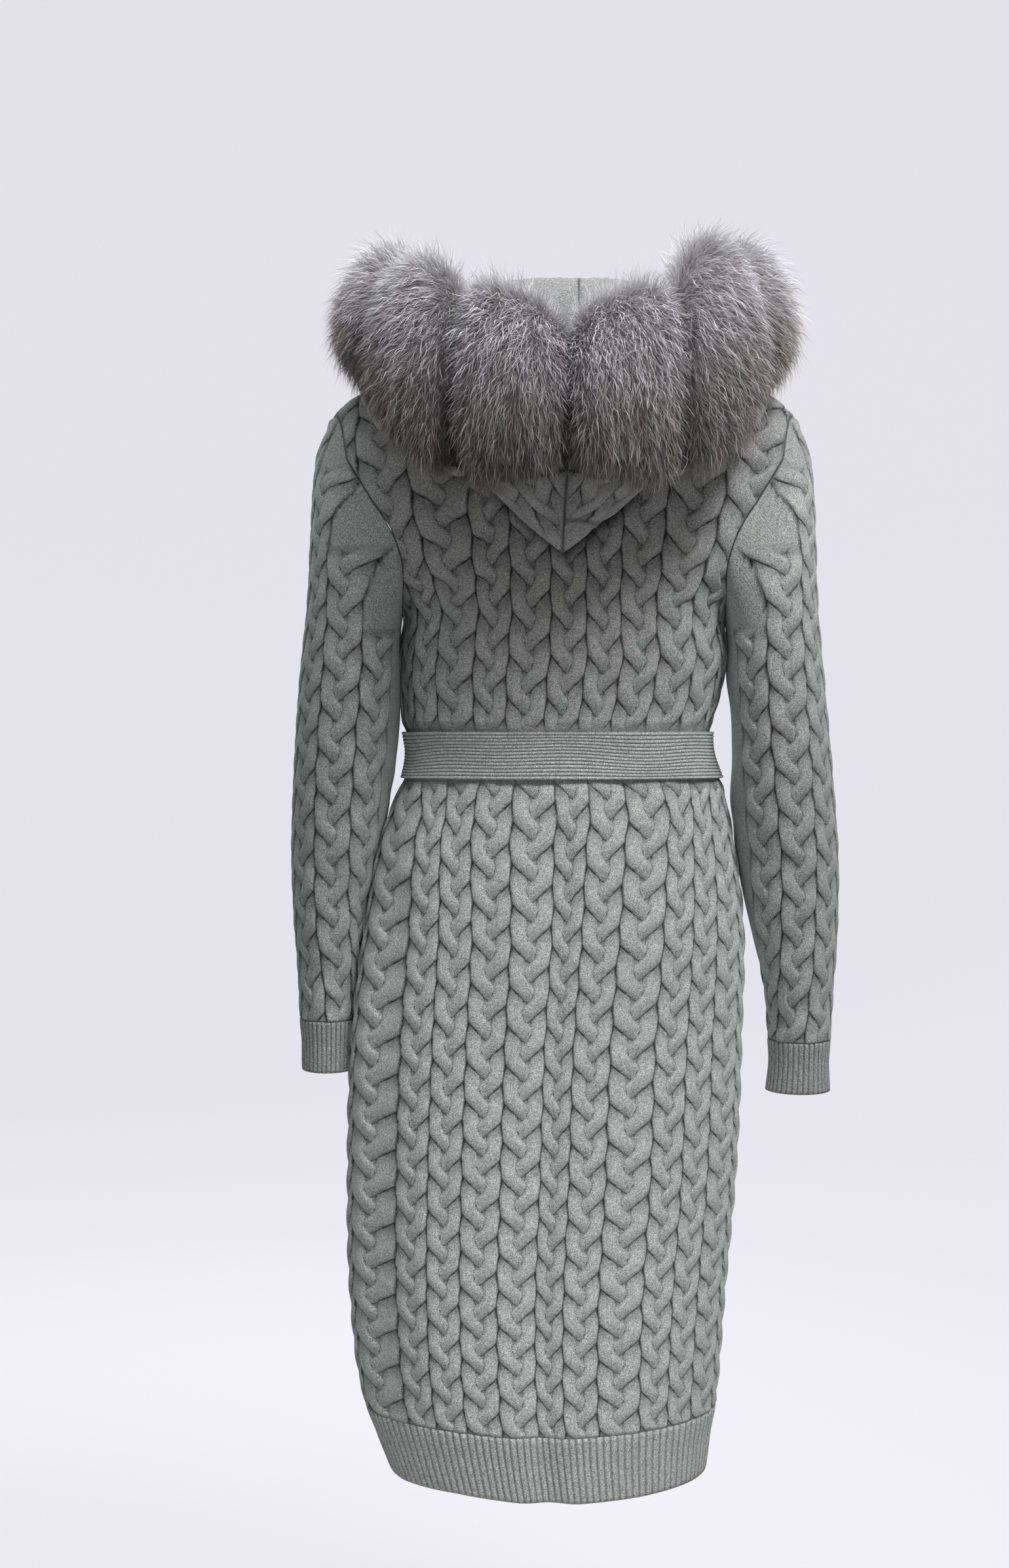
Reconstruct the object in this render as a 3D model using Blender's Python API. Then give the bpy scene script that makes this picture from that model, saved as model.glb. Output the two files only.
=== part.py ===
"""Hooded cardigan: long cable-knit body, set-in sleeves, fur-trimmed hood worn down, tie belt.

The garment keeps the hollow form it has when worn. +Z is up, the wearer's back faces +Y and the
wearer's left arm is at +X. The origin is the middle of the neck at the height of the shoulders.
Every panel is a wall: an outer grid, the same grid moved in by the cloth's thickness, and a rim.
"""
from math import cos, pi, radians, sin

import bmesh
import bpy
import numpy as np

# ---------------------------------------------------------------- driving dimensions, metres
CLOTH = 0.0034              # thickness of the cable-knit wall
RIB_CLOTH = 0.0030          # thickness of the ribbed hem and cuffs
SEAM = 0.0003               # gap between two pieces at a seam
CABLE_RIDGE = 0.0032        # how far a cable column stands proud of the ground between columns
BACK_COLUMNS = 13           # cable columns across the back, side seam to side seam
HEM_Z = -1.122              # lower edge of the hem rib
HEM_RIB = 0.064             # height of the hem rib
UNDERARM_Z = -0.250         # lowest point of the armhole
YOKE_Z = -0.100             # above this the panels bend over to the shoulder seams
NECK_HALF_WIDTH = 0.075
NECK_CENTRE_Y = 0.005
NECK_BACK_DEPTH = 0.070
NECK_FRONT_DEPTH = 0.100
NECK_POINT_Z = 0.012        # where neckline and shoulder seam meet
NECK_BACK_DROP = 0.030
NECK_FRONT_DROP = 0.067
SHOULDER_X = 0.235          # outer end of the shoulder seam
SHOULDER_SLOPE = 0.030      # straight part of the shoulder's fall
SHOULDER_ROUND = 0.037      # rounded part of the shoulder's fall
BELT_TOP_Z = -0.373
BELT_WIDTH = 0.047
BELT_CLOTH = 0.0034
KNOT_SIZE = (0.056, 0.034, 0.054)
KNOT_ROUND = 0.011
TAIL_CLEAR = 0.0060         # the hanging ends stay this far in front of the skirt
TAILS_APART = 0.0015        # where one end hangs over the other
CUFF = 0.052                # height of a cuff
RIGHT_SLEEVE_EXTRA = 0.022  # the right sleeve hangs this much lower

HOOD_ROLL = 0.010           # size of the rolls where the hood folds over and turns up
BELT_CLEAR = 0.0018         # from the ground of the knit to the belt
COLUMN_WIDTH = 0.038        # usual width of a cable column
KNIT = (0.30, 0.31, 0.31)
RIB = (0.31, 0.32, 0.32)
FUR_GREY = (0.24, 0.24, 0.26)

HALF_COLUMNS = BACK_COLUMNS / 2
NECK_COLUMN = 1.72          # column coordinate of the neck point
SHOULDER_COLUMN = 5.30      # column coordinate of the shoulder's outer end


# Grid columns as shares of a panel's half width: every ridge and valley of the back, and a
# coarser set on a front, from its free edge at the centre to the side seam.
BACK_ACROSS = np.linspace(-1, 1, 2 * BACK_COLUMNS + 1)
FRONT_ACROSS = np.linspace(SEAM / 2 / NECK_HALF_WIDTH, 1, 9)


def rows(names, *values):
    """A table: its column names, then one tuple for each row."""
    return {name: np.array(column, float) for name, column in zip(names.split(), zip(*values))}


# Level sections of the body. spread bunches the columns at the middle (-) or at the sides (+).
TORSO = rows(
    "z half_width back_depth front_depth centre_x spread",
    (HEM_Z, 0.1625, 0.096, 0.094, 0.0155, -0.125),
    (-1.085, 0.172, 0.100, 0.098, 0.0205, -0.135),
    (-1.032, 0.182, 0.103, 0.101, 0.0250, -0.145),
    (-0.950, 0.190, 0.106, 0.104, 0.0265, -0.150),
    (-0.820, 0.197, 0.108, 0.106, 0.0220, -0.150),
    (-0.680, 0.1975, 0.107, 0.106, 0.0170, -0.150),
    (-0.563, 0.191, 0.103, 0.103, 0.0095, -0.120),
    (-0.480, 0.178, 0.097, 0.098, 0.0070, -0.060),
    (-0.420, 0.160, 0.089, 0.091, 0.0020, 0.000),
    (-0.395, 0.1535, 0.086, 0.088, 0.0030, 0.020),
    (-0.370, 0.1530, 0.086, 0.088, 0.0045, 0.030),
    (-0.335, 0.1575, 0.090, 0.092, 0.0020, 0.040),
    (-0.300, 0.1605, 0.095, 0.096, 0.0000, 0.040),
    (UNDERARM_Z, 0.1630, 0.100, 0.098, 0.0000, 0.020),
    (-0.190, 0.2080, 0.102, 0.098, 0.0000, -0.090),
    (-0.140, 0.2350, 0.101, 0.095, 0.0000, -0.130),
    (YOKE_Z, 0.2500, 0.099, 0.092, 0.0000, -0.160),
)

# The armhole's edge in column coordinates, from the underarm up to the yoke.
ARMHOLE = rows(
    "z column",
    (UNDERARM_Z, HALF_COLUMNS),
    (-0.243, 5.75),
    (-0.228, 4.85),
    (-0.205, 4.25),
    (-0.172, 4.18),
    (-0.137, 4.48),
    (YOKE_Z, 4.86),
)

# Heights of the grid rows between hem rib and yoke, then steps up the yoke.
LEVELS = (-0.990, -0.900, -0.800, -0.700, -0.610, -0.530, -0.470, -0.425, -0.395, -0.370,
          -0.335, -0.290)
YOKE_STEPS = (0.30, 0.62, 1.0)

# Deep vertical folds: middle in columns (+ is the wearer's left), half width in columns, depth.
FOLDS = rows(
    "column width depth z_low z_high",
    (0.0, 0.55, 0.007, HEM_Z - 0.2, -0.44),
    (4.5, 0.60, 0.013, HEM_Z + 0.02, -0.50),
    (-2.9, 0.60, 0.004, -0.95, -0.45),
    (3.5, 0.55, 0.016, -0.39, -0.18),
    (-4.2, 0.50, 0.010, -0.39, -0.20),
)

# Sleeve sections: the outer and the inner edge of each, and half its depth front to back.
SLEEVE = rows(
    "station out_left out_right out_z in_left in_right in_z half_depth centre_y",
    (0, 0.2350, 0.2350, -0.055, 0.1630, 0.1630, -0.250, 0.070, 0.004),
    (1, 0.2500, 0.2490, -0.098, 0.1665, 0.1665, -0.284, 0.071, 0.006),
    (2, 0.2545, 0.2530, -0.165, 0.1675, 0.1685, -0.318, 0.070, 0.006),
    (3, 0.2585, 0.2560, -0.240, 0.1685, 0.1715, -0.352, 0.068, 0.004),
    (4, 0.2670, 0.2640, -0.320, 0.1700, 0.1725, -0.395, 0.065, 0.000),
    (5, 0.2730, 0.2730, -0.405, 0.1765, 0.1715, -0.440, 0.062, -0.005),
    (6, 0.2765, 0.2800, -0.490, 0.1890, 0.1800, -0.500, 0.057, -0.010),
    (7, 0.2745, 0.2795, -0.565, 0.2030, 0.1960, -0.567, 0.051, -0.014),
    (8, 0.2705, 0.2755, -0.625, 0.2115, 0.2110, -0.625, 0.044, -0.016),
    (9, 0.2690, 0.2735, -0.668, 0.2140, 0.2140, -0.668, 0.040, -0.017),
)
# Hanging ends of the belt: which way each leans (+ is the wearer's left) and how long it is.
TAILS = {
    "name": ("belt_end_left", "belt_end_right"),
    "lean": (1.0, -1.0),
    "length": (0.290, 0.325),
}
CUFF_END = {"out_left": 0.2690, "out_right": 0.2755, "in_left": 0.2145, "in_right": 0.2095,
            "half_depth": 0.041}
# Each sleeve is one cut piece, held here as two lengths, so that collision follows its hollow.
UPPER_STATIONS = (0.0, 0.45, 1.0, 1.8, 2.7)
LOWER_STATIONS = (2.7, 3.6, 4.5, 5.6, 6.7, 7.8, 9.0)

# The fur: radius and height of its middle by azimuth from the centre back, and its half sizes.
FUR = rows(
    "azimuth radius z half_height half_thickness lean",
    (0, 0.182, -0.036, 0.090, 0.044, 0),
    (16, 0.184, -0.040, 0.092, 0.047, 0),
    (33, 0.186, -0.030, 0.094, 0.047, 4),
    (47, 0.189, -0.011, 0.094, 0.048, 8),
    (62, 0.192, 0.020, 0.090, 0.048, 12),
    (76, 0.192, 0.050, 0.074, 0.046, 16),
    (90, 0.188, 0.058, 0.067, 0.044, 18),
    (105, 0.181, 0.054, 0.064, 0.043, 14),
    (120, 0.172, 0.042, 0.063, 0.041, 8),
    (137, 0.162, 0.022, 0.060, 0.038, 4),
    (155, 0.156, 0.000, 0.054, 0.034, 0),
)
FUR_JOINS = (0, 32, 62, 90, 120, 154)      # azimuths where two lengths of fur meet
FUR_WAIST = 0.86                           # how far the fur draws in at a join
FUR_GAP_TURN = SEAM / 0.14                 # a seam's gap as an angle, at the fur's inner side

# The hood, worn down: it rises from the neckline, folds over, hangs, and turns up to its edge.
HOOD = rows(
    "azimuth top_radius top_z low_radius low_z fold",
    (0, 0.090, 0.068, 0.126, -0.196, 1.0),
    (16, 0.091, 0.069, 0.132, -0.176, 1.0),
    (33, 0.093, 0.069, 0.146, -0.148, 1.0),
    (47, 0.095, 0.067, 0.160, -0.120, 1.0),
    (62, 0.097, 0.064, 0.180, -0.079, 0.8),
    (76, 0.098, 0.060, 0.176, -0.024, 0.1),
    (90, 0.099, 0.056, 0.165, -0.006, 0.0),
    (105, 0.101, 0.049, 0.146, -0.006, 0.0),
    (120, 0.104, 0.038, 0.142, -0.030, 0.5),
    (137, 0.104, 0.022, 0.137, -0.054, 1.0),
    (155, 0.106, 0.002, 0.134, -0.070, 1.0),
)


# ---------------------------------------------------------------- curves
def curve(xs, ys, x):
    """Cubic Hermite curve through the points (xs, ys), tangents by central differences."""
    slope = np.gradient(ys, xs)
    i = np.clip(np.searchsorted(xs, x) - 1, 0, len(xs) - 2)
    step = xs[i + 1] - xs[i]
    t = np.clip((x - xs[i]) / step, 0.0, 1.0)
    return ((1 + 2 * t) * (1 - t) ** 2 * ys[i] + t * (1 - t) ** 2 * step * slope[i]
            + t * t * (3 - 2 * t) * ys[i + 1] - t * t * (1 - t) * step * slope[i + 1])


def look_up(table, x):
    """Every column of a table at x, read from smooth curves over the table's first column."""
    names = list(table)
    at = np.asarray(x, float)
    return {name: curve(table[names[0]], table[name], at) for name in names[1:]}


def smoothstep(low, high, x):
    """0 below low, 1 above high, a smooth rise between them."""
    t = np.clip((x - low) / (high - low), 0.0, 1.0)
    return t * t * (3 - 2 * t)


# ---------------------------------------------------------------- body
def neckline(azimuth):
    """Point of the neckline at an azimuth in radians from the centre back."""
    turn = np.cos(azimuth)
    depth = np.where(turn > 0, NECK_BACK_DEPTH, NECK_FRONT_DEPTH)
    drop = np.where(turn > 0, NECK_BACK_DROP, NECK_FRONT_DROP)
    return np.stack([NECK_HALF_WIDTH * np.sin(azimuth), NECK_CENTRE_Y + depth * turn,
                     NECK_POINT_Z - drop * np.abs(turn)], axis=-1)


def torso(column, z, facing):
    """Outer ground surface below the yoke; facing is +1 for the back, -1 for the fronts."""
    level = look_up(TORSO, z)
    depth = level["back_depth" if facing > 0 else "front_depth"]
    turn = column / HALF_COLUMNS
    angle = pi / 2 * turn + level["spread"] * np.sin(pi * turn)
    if facing > 0:
        for middle, width, fold, low, high in zip(*FOLDS.values()):
            reach = smoothstep(low, low + 0.10, z) * (1 - smoothstep(high - 0.06, high, z))
            depth = depth - fold * reach * np.exp(-((column - middle) / width) ** 2)
    x = level["centre_x"] + level["half_width"] * np.sin(angle)
    return np.stack([x, facing * depth * np.cos(angle), z + 0 * x], axis=-1)


def top_edge(column, facing):
    """Neckline, then shoulder seam, in column coordinates."""
    side = np.sign(column)
    reach = np.abs(column)
    around = pi / 2 * np.clip(reach / NECK_COLUMN, 0, 1)
    neck = neckline(around if facing > 0 else pi - around)
    along = np.clip((reach - NECK_COLUMN) / (SHOULDER_COLUMN - NECK_COLUMN), 0, 1)
    past = reach > NECK_COLUMN
    x = np.where(past, NECK_HALF_WIDTH + (SHOULDER_X - NECK_HALF_WIDTH) * along, neck[..., 0])
    y = np.where(past, NECK_CENTRE_Y, neck[..., 1]) + facing * SEAM / 2
    fall = SHOULDER_SLOPE * along + SHOULDER_ROUND * along ** 3
    z = np.where(past, NECK_POINT_Z - fall, neck[..., 2])
    return np.stack([side * x, y, z], axis=-1)


def yoke(column, step, facing):
    """From the level YOKE_Z (step 0) over to the top edge (step 1), on an elliptical bend."""
    low = torso(column, np.full(np.shape(column), YOKE_Z), facing)
    top = top_edge(column, facing)
    bend = pi / 2 * (0.55 + 0.45 * smoothstep(0, NECK_COLUMN + 0.8, np.abs(column)))
    turn = bend * step
    rise = np.sin(turn) / np.sin(bend)
    keep = (np.cos(turn) - np.cos(bend)) / (1 - np.cos(bend))
    x = low[..., 0] + (top[..., 0] - low[..., 0]) * step
    y = top[..., 1] + (low[..., 1] - top[..., 1]) * keep
    z = YOKE_Z + (top[..., 2] - YOKE_Z) * rise
    return np.stack([x, y, z], axis=-1)


def panel_rows(low_levels):
    """(height or yoke step, edge column, is_yoke) of each grid row, from the bottom up."""
    result = [(z, HALF_COLUMNS, False) for z in low_levels]
    result += [(z, edge, False) for z, edge in zip(ARMHOLE["z"], ARMHOLE["column"])]
    top_gain = SHOULDER_COLUMN - ARMHOLE["column"][-1]
    result += [(step, ARMHOLE["column"][-1] + top_gain * step, True) for step in YOKE_STEPS]
    return result


def ridge(column, z):
    """Height of the cable columns: a row of low arches, flattened by the belt and at the yoke."""
    arch = np.abs(np.cos(pi * column))
    belt = 1 - 0.8 * smoothstep(-0.45, -0.425, z) * (1 - smoothstep(-0.37, -0.34, z))
    upper = 1 - smoothstep(UNDERARM_Z - 0.04, UNDERARM_Z, z)
    return CABLE_RIDGE * arch * belt * upper


def normals(grid, wrap=False):
    """Unit normals of a grid of points, pointing along d/dcolumn x d/drow."""
    if wrap:
        across = np.roll(grid, -1, axis=1) - np.roll(grid, 1, axis=1)
    else:
        across = np.gradient(grid, axis=1)
    up = np.gradient(grid, axis=0)
    cross = np.cross(across, up)
    return cross / np.linalg.norm(cross, axis=-1, keepdims=True)


def square_to_seams(out, levels, columns):
    """Turn the wall's edges square to the hem, side, shoulder and centre-front seams."""
    below = np.array([edge == HALF_COLUMNS for height, edge, is_yoke in levels])
    for end in (0, -1):
        if abs(columns[end]) > 0.9:
            out[below, end, 1] = 0.0
        else:
            out[:, end, 0] = 0.0
    out[0, :, 2] = 0.0
    if not levels[-1][2]:
        out[-1, :, 2] = 0.0
    else:
        reach = np.abs(columns) * levels[-1][1]
        out[-1, :, 1] *= 1 - smoothstep(0.5 * NECK_COLUMN, 0.95 * NECK_COLUMN, reach)
    out /= np.linalg.norm(out, axis=-1, keepdims=True)


def neck_stations(columns, facing):
    """Column coordinates along the top edge, with the hood's stations along the neckline."""
    azimuths = HOOD["azimuth"][HOOD["azimuth"] <= 90] if facing > 0 else \
        180 - np.append(180, HOOD["azimuth"][HOOD["azimuth"] >= 90][::-1])
    at_neck = NECK_COLUMN * azimuths / 90
    at_neck = np.maximum(at_neck, NECK_COLUMN * np.abs(columns).min())
    half = np.sort(np.abs(columns[columns * columns[-1] >= 0]))
    rest = len(half) - len(at_neck)
    along = np.linspace(NECK_COLUMN, SHOULDER_COLUMN, rest + 1)[1:]
    return np.sign(columns) * np.interp(np.abs(columns), half, np.append(at_neck, along))


def body_panel(facing, columns, levels, thickness, ridged=True):
    """Outer and inner grids of a body panel; columns run 0..1 across each row's own range."""
    outer, ridges = [], []
    seam = SEAM / 2 / COLUMN_WIDTH
    for height, edge, is_yoke in levels:
        column = columns * (edge - seam)
        if is_yoke:
            column = column + (neck_stations(columns, facing) - column) * height
            outer.append(yoke(column, height, facing))
            ridges.append(0 * column)
        else:
            z = np.full(column.shape, height)
            outer.append(torso(column, z, facing))
            ridges.append(ridge(column, z) if ridged else 0 * column)
    ground = np.array(outer)
    out = normals(ground)
    if np.sum(out[:, :, 1] * facing) < 0:
        out = -out
    square_to_seams(out, levels, columns)
    return ground + out * np.array(ridges)[..., None], ground - out * thickness


# ---------------------------------------------------------------- objects
def material(name, colour, roughness):
    """A plain Principled material."""
    made = bpy.data.materials.new(name)
    made.use_nodes = True
    shader = made.node_tree.nodes["Principled BSDF"]
    shader.inputs["Base Color"].default_value = (*colour, 1.0)
    shader.inputs["Roughness"].default_value = roughness
    shader.inputs["Metallic"].default_value = 0.0
    return made


def add_object(name, mesh_maker, colour, roughness=0.9):
    """Run mesh_maker on a new bmesh, turn its faces out, and link the object."""
    shape = bmesh.new()
    mesh_maker(shape)
    bmesh.ops.recalc_face_normals(shape, faces=shape.faces)
    mesh = bpy.data.meshes.new(name)
    shape.to_mesh(mesh)
    shape.free()
    mesh.shade_smooth()
    mesh.set_sharp_from_angle(angle=radians(50))
    mesh.materials.append(material(name, colour, roughness))
    made = bpy.data.objects.new(name, mesh)
    collection.objects.link(made)
    return made


def wall(shape, outer, inner, wrap=False):
    """A closed wall between two grids of points; wrap joins each row's end to its start."""
    count_rows, count_columns = outer.shape[:2]
    sides = [[[shape.verts.new(point) for point in row] for row in grid]
             for grid in (outer, inner)]
    steps = count_columns if wrap else count_columns - 1
    for side in sides:
        for r in range(count_rows - 1):
            for c in range(steps):
                d = (c + 1) % count_columns
                shape.faces.new((side[r][c], side[r][d], side[r + 1][d], side[r + 1][c]))
    out, back = sides
    for r in (0, count_rows - 1):
        for c in range(steps):
            d = (c + 1) % count_columns
            shape.faces.new((out[r][c], out[r][d], back[r][d], back[r][c]))
    if not wrap:
        for c in (0, count_columns - 1):
            for r in range(count_rows - 1):
                shape.faces.new((out[r][c], out[r + 1][c], back[r + 1][c], back[r][c]))


# ---------------------------------------------------------------- body panels and hem
def make_body():
    """Back, two fronts, and the hem rib under each."""
    rib_top = HEM_Z + HEM_RIB
    levels = panel_rows((rib_top,) + LEVELS)
    hem_levels = [(HEM_Z, HALF_COLUMNS, False), (HEM_Z + HEM_RIB / 2, HALF_COLUMNS, False),
                  (rib_top - SEAM, HALF_COLUMNS, False)]
    for facing, name, columns in ((1, "back", BACK_ACROSS), (-1, "front_left", FRONT_ACROSS),
                                  (-1, "front_right", -FRONT_ACROSS)):
        ridged = facing > 0
        outer, inner = body_panel(facing, columns, levels, CLOTH, ridged)
        add_object(name, lambda shape: wall(shape, outer, inner), KNIT)
        outer, inner = body_panel(facing, columns, hem_levels, RIB_CLOTH, False)
        add_object("hem_" + name, lambda shape: wall(shape, outer, inner), RIB)
    return levels


# ---------------------------------------------------------------- sleeves and cuffs
def armhole_loop(levels, side):
    """Outer and inner edge points of the armhole, round from the underarm by the back."""
    loops = []
    for facing, columns in ((1, side * BACK_ACROSS), (-1, side * FRONT_ACROSS)):
        outer, inner = body_panel(facing, columns, levels, CLOTH, facing > 0)
        loops.append((outer[:, -1], inner[:, -1]))
    start = next(i for i, row in enumerate(levels) if row[0] == UNDERARM_Z)
    (back_out, back_in), (front_out, front_in) = loops
    outer = np.concatenate([back_out[start:], front_out[:start:-1]])
    inner = np.concatenate([back_in[start:], front_in[:start:-1]])
    return outer, inner


def sleeve_section(station, side, angle):
    """Ellipse from the inner edge (angle 180) to the outer edge (angle 0) of a section."""
    word = "left" if side > 0 else "right"
    value = look_up(SLEEVE, station)
    drop = RIGHT_SLEEVE_EXTRA * smoothstep(1.0, SLEEVE["station"][-1], station) * (side < 0)
    out = np.array([side * value["out_" + word], 0, value["out_z"] - drop])
    inn = np.array([side * value["in_" + word], 0, value["in_z"] - drop])
    middle = (out + inn) / 2 + np.array([0, value["centre_y"], 0])
    long_half = (out - inn) / 2
    deep_half = np.array([0, value["half_depth"], 0])
    return middle + np.outer(np.cos(angle), long_half) + np.outer(np.sin(angle), deep_half)


def sleeve_rings(outer_loop, side, stations):
    """Rings from the armhole's own loop, whose shape fades into the ellipses below it."""
    first = sleeve_section(0.0, side, np.array([0.0, pi / 2, pi]))
    middle = (first[0] + first[2]) / 2
    along, deep = first[0] - middle, first[1] - middle
    away = outer_loop - middle
    angle = np.arctan2(away @ deep / (deep @ deep), away @ along / (along @ along))
    misfit = outer_loop - sleeve_section(0.0, side, angle)
    rings = [sleeve_section(s, side, angle) + misfit * (1 - smoothstep(0, 2.0, s))
             for s in stations]
    return np.array(rings), angle


def make_sleeves(levels):
    """Each sleeve is a tube lofted from the armhole to the wrist, with a cuff below it."""
    stations = UPPER_STATIONS + LOWER_STATIONS[1:]
    joint = len(UPPER_STATIONS) - 1
    for side, word in ((1, "left"), (-1, "right")):
        outer_loop, inner_loop = armhole_loop(levels, side)
        rings, angle = sleeve_rings(outer_loop, side, stations)
        out = normals(rings, wrap=True)
        centre = rings.mean(axis=1, keepdims=True)
        if np.sum(out * (rings - centre)) < 0:
            out = -out
        inner = rings - out * CLOTH
        step_out = np.array([side * SEAM * 2, 0, 0])
        rings[0] += step_out
        inner[0] += step_out
        own = inner[0] - rings[0]
        shared = smoothstep(-0.20, -0.12, outer_loop[:, 2:])
        inner[0] = rings[0] + shared * (inner_loop - outer_loop) + (1 - shared) * own
        upper = rings[:joint + 1], inner[:joint + 1]
        add_object(f"sleeve_{word}_upper", lambda shape: wall(shape, *upper, True), KNIT)
        lower = rings[joint:].copy(), inner[joint:].copy()
        for grid in lower:
            grid[0, :, 2] -= SEAM
        add_object(f"sleeve_{word}_lower", lambda shape: wall(shape, *lower, True), KNIT)
        make_cuff(rings[-1], inner[-1], side, word, angle)


def make_cuff(top_out, top_in, side, word, angle):
    """A ribbed tube from the sleeve's end to the cuff's edge."""
    out_x, in_x = CUFF_END["out_" + word], CUFF_END["in_" + word]
    end = np.empty_like(top_out)
    end[:, 0] = side * ((out_x + in_x) / 2 + (out_x - in_x) / 2 * np.cos(angle))
    end[:, 1] = SLEEVE["centre_y"][-1] + CUFF_END["half_depth"] * np.sin(angle)
    end[:, 2] = top_out[:, 2] - CUFF
    down = np.array([0, 0, -SEAM])
    middle = (top_out + end) / 2
    middle[:, :2] = top_out[:, :2] * 0.75 + end[:, :2] * 0.25
    rings = np.array([top_out + down, middle, end])
    centre = rings.mean(axis=1, keepdims=True)
    inward = centre - rings
    inward[..., 2] = 0
    inward /= np.linalg.norm(inward, axis=-1, keepdims=True)
    inner = rings + inward * RIB_CLOTH
    inner[0] = top_in + down
    add_object("cuff_" + word, lambda shape: wall(shape, rings, inner, True), RIB)


# ---------------------------------------------------------------- hood and fur
def around_neck(azimuth, radius, z):
    """Point at an azimuth (radians from the centre back) and radius about the neck's middle."""
    return np.stack([radius * np.sin(azimuth), NECK_CENTRE_Y + radius * np.cos(azimuth),
                     z + 0 * azimuth], axis=-1)


def hood_profile(degrees_round):
    """Radius and height of the hood's section at an azimuth, neckline to edge."""
    azimuth = radians(degrees_round)
    start = neckline(np.array(azimuth))
    neck_r = np.hypot(start[0], start[1] - NECK_CENTRE_Y)
    neck_z = start[2] + SEAM
    hood, fur = look_up(HOOD, degrees_round), look_up(FUR, degrees_round)
    top_r, top_z = hood["top_radius"], hood["top_z"]
    low_r, low_z = hood["low_radius"], hood["low_z"]
    roll, fold = HOOD_ROLL, hood["fold"]
    lean = radians(fur["lean"])
    edge_r = fur["radius"] + fur["half_height"] * sin(lean)
    edge_z = fur["z"] - fur["half_height"] * cos(lean) - 3 * SEAM - 0.004 * (1 - fold)
    before = 1.5 * roll * fold + 0.3 * roll * (1 - fold)
    after = 0.8 * roll * fold - 0.6 * roll * (1 - fold)
    return [
        (neck_r, neck_z),
        (neck_r + 0.3 * (top_r - roll - neck_r), neck_z + 0.5 * (top_z - neck_z)),
        (top_r - roll, top_z - roll),
        (top_r, top_z),
        (top_r + roll, top_z - roll),
        (0.5 * (top_r + roll + low_r - roll), 0.5 * (top_z + low_z)),
        (low_r - roll, low_z + before),
        (low_r, low_z),
        (low_r + 1.2 * roll, low_z + after),
        (0.5 * (low_r + 1.2 * roll + edge_r), 0.5 * (low_z + after + edge_z)),
        (edge_r, edge_z),
    ]


def make_hood():
    """Two halves, joined at the centre back, each a wall on the hood's sections."""
    for side, word in ((1, "left"), (-1, "right")):
        grid = []
        for azimuth in HOOD["azimuth"]:
            profile = np.array(hood_profile(azimuth))
            start = neckline(np.array(radians(azimuth)))
            turn = np.full(len(profile), radians(azimuth))
            turn[0] = np.arctan2(start[0], start[1] - NECK_CENTRE_Y)
            turn[1] = (turn[0] + turn[2]) / 2
            turn = side * np.maximum(turn, SEAM / 2 / profile[:, 0])
            grid.append(around_neck(turn, profile[:, 0], profile[:, 1]))
        outer = np.array(grid)
        inner = outer - side * normals(outer) * CLOTH
        inner[:, 0] = outer[:, 0] * (1 - CLOTH / NECK_HALF_WIDTH)
        inner[:, 0, 2] = outer[:, 0, 2]
        inner[0, :, 0] = outer[0, :, 0]
        inner[:, -1, 2] = outer[:, -1, 2]
        add_object("hood_" + word, lambda shape: wall(shape, outer, inner), KNIT)


def fur_ring(degrees_round, scale, side, shift):
    """Oval section of the fur, standing on the radius at this azimuth."""
    fur = look_up(FUR, degrees_round)
    angle = np.linspace(0, 2 * pi, 12, endpoint=False)
    lean = radians(fur["lean"])
    thick = fur["half_thickness"] * scale * np.cos(angle)
    tall = fur["half_height"] * scale * np.sin(angle)
    radius = fur["radius"] + thick * cos(lean) - tall * sin(lean)
    z = fur["z"] + thick * sin(lean) + tall * cos(lean)
    azimuth = np.full(12, radians(degrees_round) + shift)
    return around_neck(side * azimuth, radius, z)


def make_fur():
    """Ten lengths of fur, five each side, each fullest in its middle."""
    for side, word in ((1, "left"), (-1, "right")):
        for number, (low, high) in enumerate(zip(FUR_JOINS, FUR_JOINS[1:]), start=1):
            rings = []
            for along in (0.0, 0.16, 0.5, 0.84, 1.0):
                swell = 1 - (1 - FUR_WAIST) * abs(2 * along - 1) ** 3
                gap = FUR_GAP_TURN * (0.5 - along)
                rings.append(fur_ring(low + (high - low) * along, swell, side, gap))

            def solid(shape, rings=rings):
                loops = [[shape.verts.new(point) for point in ring] for ring in rings]
                for one, two in zip(loops, loops[1:]):
                    for i in range(len(one)):
                        j = (i + 1) % len(one)
                        shape.faces.new((one[i], one[j], two[j], two[i]))
                shape.faces.new(loops[0])
                shape.faces.new(loops[-1])
            add_object(f"fur_{word}_{number}", solid, FUR_GREY)


# ---------------------------------------------------------------- belt
def belt_ring(z, offset, count=36):
    """Closed ring round the body at a height, moved out by offset."""
    angle = np.linspace(0, 2 * pi, count, endpoint=False)
    level = look_up(TORSO, z)
    depth = np.where(np.cos(angle) > 0, level["back_depth"], level["front_depth"]) + offset
    x = level["centre_x"] + (level["half_width"] + offset) * np.sin(angle)
    return np.stack([x, depth * np.cos(angle), np.full(count, z)], axis=-1)


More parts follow.
